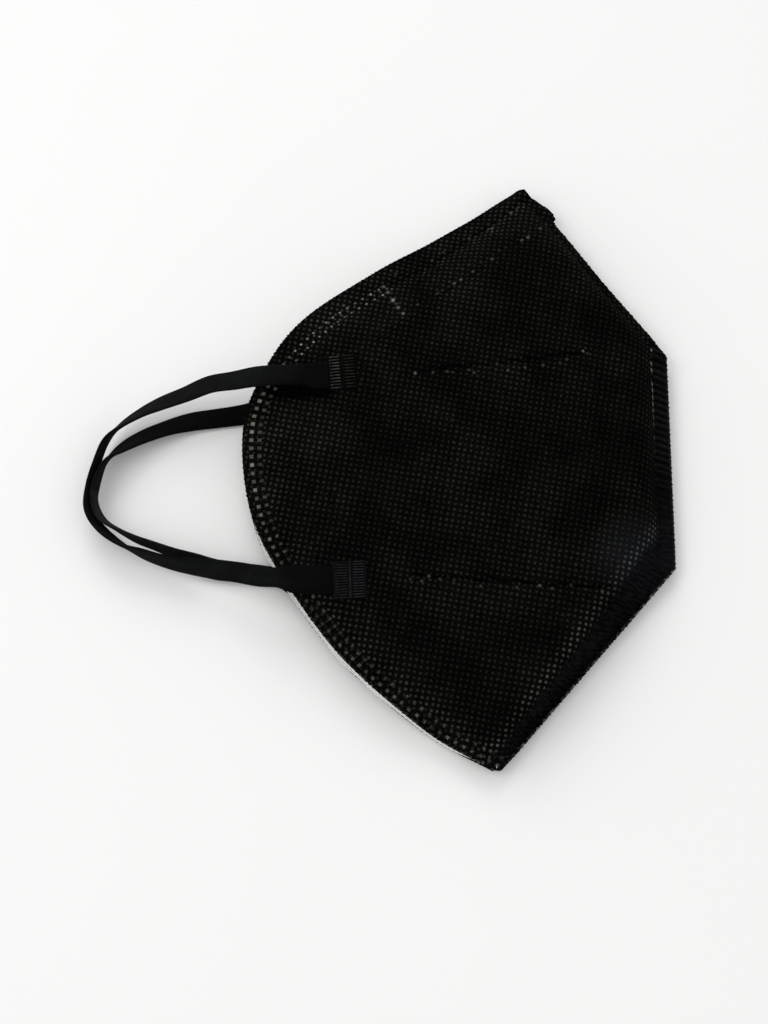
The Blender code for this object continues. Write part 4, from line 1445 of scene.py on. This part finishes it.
def fromBothEnds(stations, length, startTable, endTable):
    # the first half read from the one table by its distance from the start, the second half from the other
    return np.where(
        stations < 0.5 * length,
        np.interp(stations, *np.array(startTable).T),
        np.interp(length - stations, *np.array(endTable).T),
    )


def strapFaces(number):
    # quads round the strap, and strips between the upper and the lower points that close its flat ends
    corners = number.shape[1]
    half = corners // 2
    upper, lower = np.arange(0, half + 1), (-np.arange(0, half + 1)) % corners
    faceSets = [gridFaces(np.hstack((number, number[:, :1])))]
    for ring, way in ((number[0], 1), (number[-1], -1)):
        strip = np.stack((ring[upper[:-1]], ring[upper[1:]], ring[lower[1:]], ring[lower[:-1]]), axis=-1)
        tips = np.array((ring[[0, 1, corners - 1]], ring[[half, half + 1, half - 1]]))
        faceSets += [strip[1:-1, ::way], tips[:, ::way]]
    return faceSets


def teethAlong(places):
    # a zigzag from 0 to 1 and back in each pitch
    return np.abs(np.mod(places, 1) - 0.5) * 2


def earLoop(name, route, tone):
    # the flat section carried along the route, turned by the roll, with toothed edges and ribs along it
    table = curveThrough(route, 900)
    run = runLength(table[:, :3])
    length = run[-1]
    stations = np.arange(-loop["tuckedEnd"], length + loop["tuckedEnd"], loop["stationStep"])
    line = pointsAt(table, run, np.clip(stations, 0, length))
    before, beyond = np.clip(-stations, 0, None)[:, None], np.clip(stations - length, 0, None)[:, None]
    line[:, :3] += before * unit(table[0, :3] - table[1, :3]) + beyond * unit(table[-1, :3] - table[-2, :3])
    along = np.gradient(line[:, :3], axis=0)
    along /= np.linalg.norm(along, axis=1, keepdims=True)
    side = np.cross((0, 0, 1), along)
    side /= np.linalg.norm(side, axis=1, keepdims=True)
    roll = np.radians(line[:, 3:4])
    acrossWay = np.cos(roll) * side + np.sin(roll) * np.cross(along, side)
    facing = np.cross(along, acrossWay)

    # width and thickness at each station
    across, thick = strapSection(loop["sectionPoints"])
    beats = stations / loop["tooth"]
    teeth = np.where(across > 0, teethAlong(beats)[:, None], teethAlong(beats + loop["toothShift"])[:, None])
    width = fromBothEnds(stations, length, loop["startWidth"], loop["endWidth"])
    drift = loop["drift"] * np.sin(stations / 3.1 + 2 * np.sin(stations / 11))
    halfWidth = 0.5 * width[:, None] - loop["toothHeight"] * teeth + drift[:, None] * 0.5
    startFlat, endFlat = loop["layFlat"]
    pastFlat = np.where(stations < 0.5 * length, stations - startFlat, length - stations - endFlat)
    free = smoothStep((pastFlat + 1.5) / loop["liftOver"])
    halfThickness = 0.5 * (loop["endThickness"] + (loop["thickness"] - loop["endThickness"]) * free)
    wales = np.cos(2 * math.pi * across * loop["waleSpread"] / loop["waleWidth"]) - 1
    widthPlace = across * halfWidth
    thickPlace = thick * halfThickness[:, None] * (1 + 2 * loop["waleHeight"] / loop["thickness"] * wales)
    if name.startswith("right"):
        cloth = foldHeights(line[:, 0], line[:, 1])[1] + halfThickness + loop["bedding"]
        line[:, 2] = cloth + (line[:, 2] - cloth) * free

    rings = line[:, None, :3] + widthPlace[..., None] * acrossWay[:, None]
    rings = rings + thickPlace[..., None] * facing[:, None]
    blank = np.zeros(widthPlace.shape)
    # painted shade and light along the strap, from the loop's table of tones
    light = fromBothEnds(stations, length, *tone)[:, None]
    maps = {
        "strapMap": np.stack((blank + stations[:, None], widthPlace), axis=-1),
        "shadeAndToneMap": np.stack((blank + light, blank + across), axis=-1),
    }
    return makeMesh(name, rings, strapFaces(pointNumbers(*blank.shape)), elasticMaterial, maps)


for title in ("right", "left"):
    earLoopPiece = earLoop(f"{title}_ear_loop_knit", loop[title], loop["tone"][title])
    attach(earLoopPiece, "root")
    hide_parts(f"{title}_ear_loop")
print("ear loops made")


# weld pads

pad = {
    # middle, turn in degrees, length along the strap, number of ridges, and whether a bar joins its columns
    "upper": {"middle": (-9.6, 21.6), "turn": 5.0, "length": 7.5, "ridges": 11, "bar": 0.0},
    "lower": {"middle": (-7.4, -32.0), "turn": 2.0, "length": 8.4, "ridges": 14, "bar": 1.0},
    "width": 9.3,
    "plate": 0.55,
    "ridgeHeight": 0.42,
    "ridgeWidth": 0.62,
    # in shares of the length: both columns of ridges, their blur, and the bar's middle and width
    "columns": ((0.05, 0.47), (0.56, 0.95)),
    "columnBlur": 0.06,
    "barPlace": (0.515, 0.035),
    "edgeRound": 0.5,
    "sunk": 0.12,  # how deep in the cloth the plate's rim lies
    "base": 0.25,  # and its underside
    "samples": (46, 130),
}


def weldPad(name, spec, onTop):
    # a plate that follows the cloth, with two columns of round ridges across it
    shares = (np.linspace(0, 1, count) for count in pad["samples"])
    u, v = np.meshgrid(*shares, indexing="ij")
    along, across = (u - 0.5) * spec["length"], (v - 0.5) * pad["width"]
    turn = math.radians(spec["turn"])
    x = spec["middle"][0] + along * math.cos(turn) - across * math.sin(turn)
    y = spec["middle"][1] + along * math.sin(turn) + across * math.cos(turn)
    beat = np.abs(np.mod(v * spec["ridges"], 1) - 0.5) * 2
    ridge = np.sqrt(np.clip(1 - (beat / pad["ridgeWidth"]) ** 2, 0, 1))
    blur = pad["columnBlur"]
    column = sum(smoothStep((u - a) / blur) * smoothStep((b - u) / blur) for a, b in pad["columns"])
    barMiddle, barWidth = pad["barPlace"]
    ridge = np.maximum(ridge * column, spec["bar"] * hump(u - barMiddle, barWidth))
    rim = np.minimum(np.minimum(u, 1 - u) * spec["length"], np.minimum(v, 1 - v) * pad["width"])
    edge = quarterRound(rim / pad["edgeRound"])
    low, high = foldHeights(x, y)
    away = 1.0 if onTop else -1.0
    cloth = high if onTop else low
    height = edge * (pad["plate"] + pad["ridgeHeight"] * ridge) - pad["sunk"]
    top = np.stack((x, y, cloth + away * height), axis=-1)
    base = np.stack((x, y, cloth - away * pad["base"]), axis=-1)
    number = pointNumbers(*u.shape)
    rimLine = np.concatenate((number[0, :-1], number[:-1, -1], number[-1, :0:-1], number[::-1, 0]))
    faceSets = (
        gridFaces(number),
        gridFaces(number + number.size)[:, ::-1],
        stripFaces(rimLine, rimLine + number.size)[:, ::-1],
    )
    shareMap = np.concatenate((u, u))
    ridgeMap = np.concatenate((ridge * edge, np.zeros_like(u)))
    maps = {
        "padMap": np.stack((shareMap, ridgeMap), axis=-1),
        "kindMap": np.stack((np.full_like(shareMap, spec["bar"]), np.zeros_like(shareMap)), axis=-1),
    }
    return makeMesh(name, np.concatenate((top, base)), faceSets, weldMaterial, maps)


for side, onTop in (("right", True), ("left", False)):
    for level in ("upper", "lower"):
        padPiece = weldPad(f"{side}_{level}_pad_ridges", pad[level], onTop)
        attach(padPiece, "root")
        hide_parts(f"{side}_{level}_weld_pad")
print("weld pads made")


# table, camera and light

studio = {
    "floor": (0.84, 0.84, 0.835),
    "floorShade": 0.985,  # the share of that in the table's faint darker patches
    "floorHalf": 6.0,  # half its width; the studio's lengths are in metres
    "zenith": 0.775,
    "horizon": 1.20,
    # place, what it faces, focal length and sensor width in millimetres
    "camera": ((0.00085, -0.13495, 0.3804), (0.00085, -0.01135, 0.0), 56.25, 36.0),
    # place, what it faces, width, height, power in watts
    "key": ((-0.6, 3.2, 2.0), (0.0, 0.0, 0.0), 2.2, 1.8, 46.0),
    "fill": ((-0.6, 0.1, 0.7), (0.0, 0.0, 0.0), 0.5, 0.5, 1.6),
}


def makeFloor():
    # one large square, faintly patched
    material, tree, shader = newMaterial("table_top", 0.75, 0.2)
    where = tree.nodes.new("ShaderNodeTexCoord").outputs["Object"]
    soft = noise(tree, turned(tree, where, scale=(9, 9, 9)), 1.0, 1.0)
    shade = tuple(studio["floorShade"] * c for c in studio["floor"])
    tree.links.new(mixColour(tree, soft, shade, studio["floor"]), shader.inputs["Base Color"])
    plane = bpy.data.meshes.new("floor")
    half = studio["floorHalf"]
    corners = [(-half, -half, 0), (half, -half, 0), (half, half, 0), (-half, half, 0)]
    plane.from_pydata(corners, [], [(0, 1, 2, 3)])
    plane.materials.append(material)
    return addObject("floor", plane)


def aim(thing, location, target):
    # places it and turns its -Z towards the target
    thing.location = location
    way = Vector(target) - Vector(location)
    thing.rotation_mode = "QUATERNION"
    thing.rotation_quaternion = way.to_track_quat("-Z", "Y")


floor = makeFloor()
location, target, lens, sensor = studio["camera"]
camera = addObject("camera", bpy.data.cameras.new("camera"))
camera.data.lens = lens
camera.data.sensor_width = sensor
aim(camera, location, target)
bpy.context.scene.camera = camera
for title in ("key", "fill"):
    location, target, width, height, power = studio[title]
    lamp = bpy.data.lights.new(title, "AREA")
    lamp.shape = "RECTANGLE"
    lamp.size = width
    lamp.size_y = height
    lamp.energy = power
    aim(addObject(title, lamp), location, target)
world = bpy.data.worlds.new("studio")
world.use_nodes = True
sky = world.node_tree
skyAt = splitVector(sky, sky.nodes.new("ShaderNodeTexCoord").outputs["Generated"])
brightness = swing(sky, ramp(sky, skyAt[2], 0.0, 0.75), studio["horizon"], studio["zenith"])
sky.nodes["Background"].inputs["Color"].default_value = (1.0, 1.0, 1.0, 1.0)
sky.links.new(brightness, sky.nodes["Background"].inputs["Strength"])
bpy.context.scene.world = world
bpy.context.scene.view_settings.view_transform = "Standard"

print("scene made")
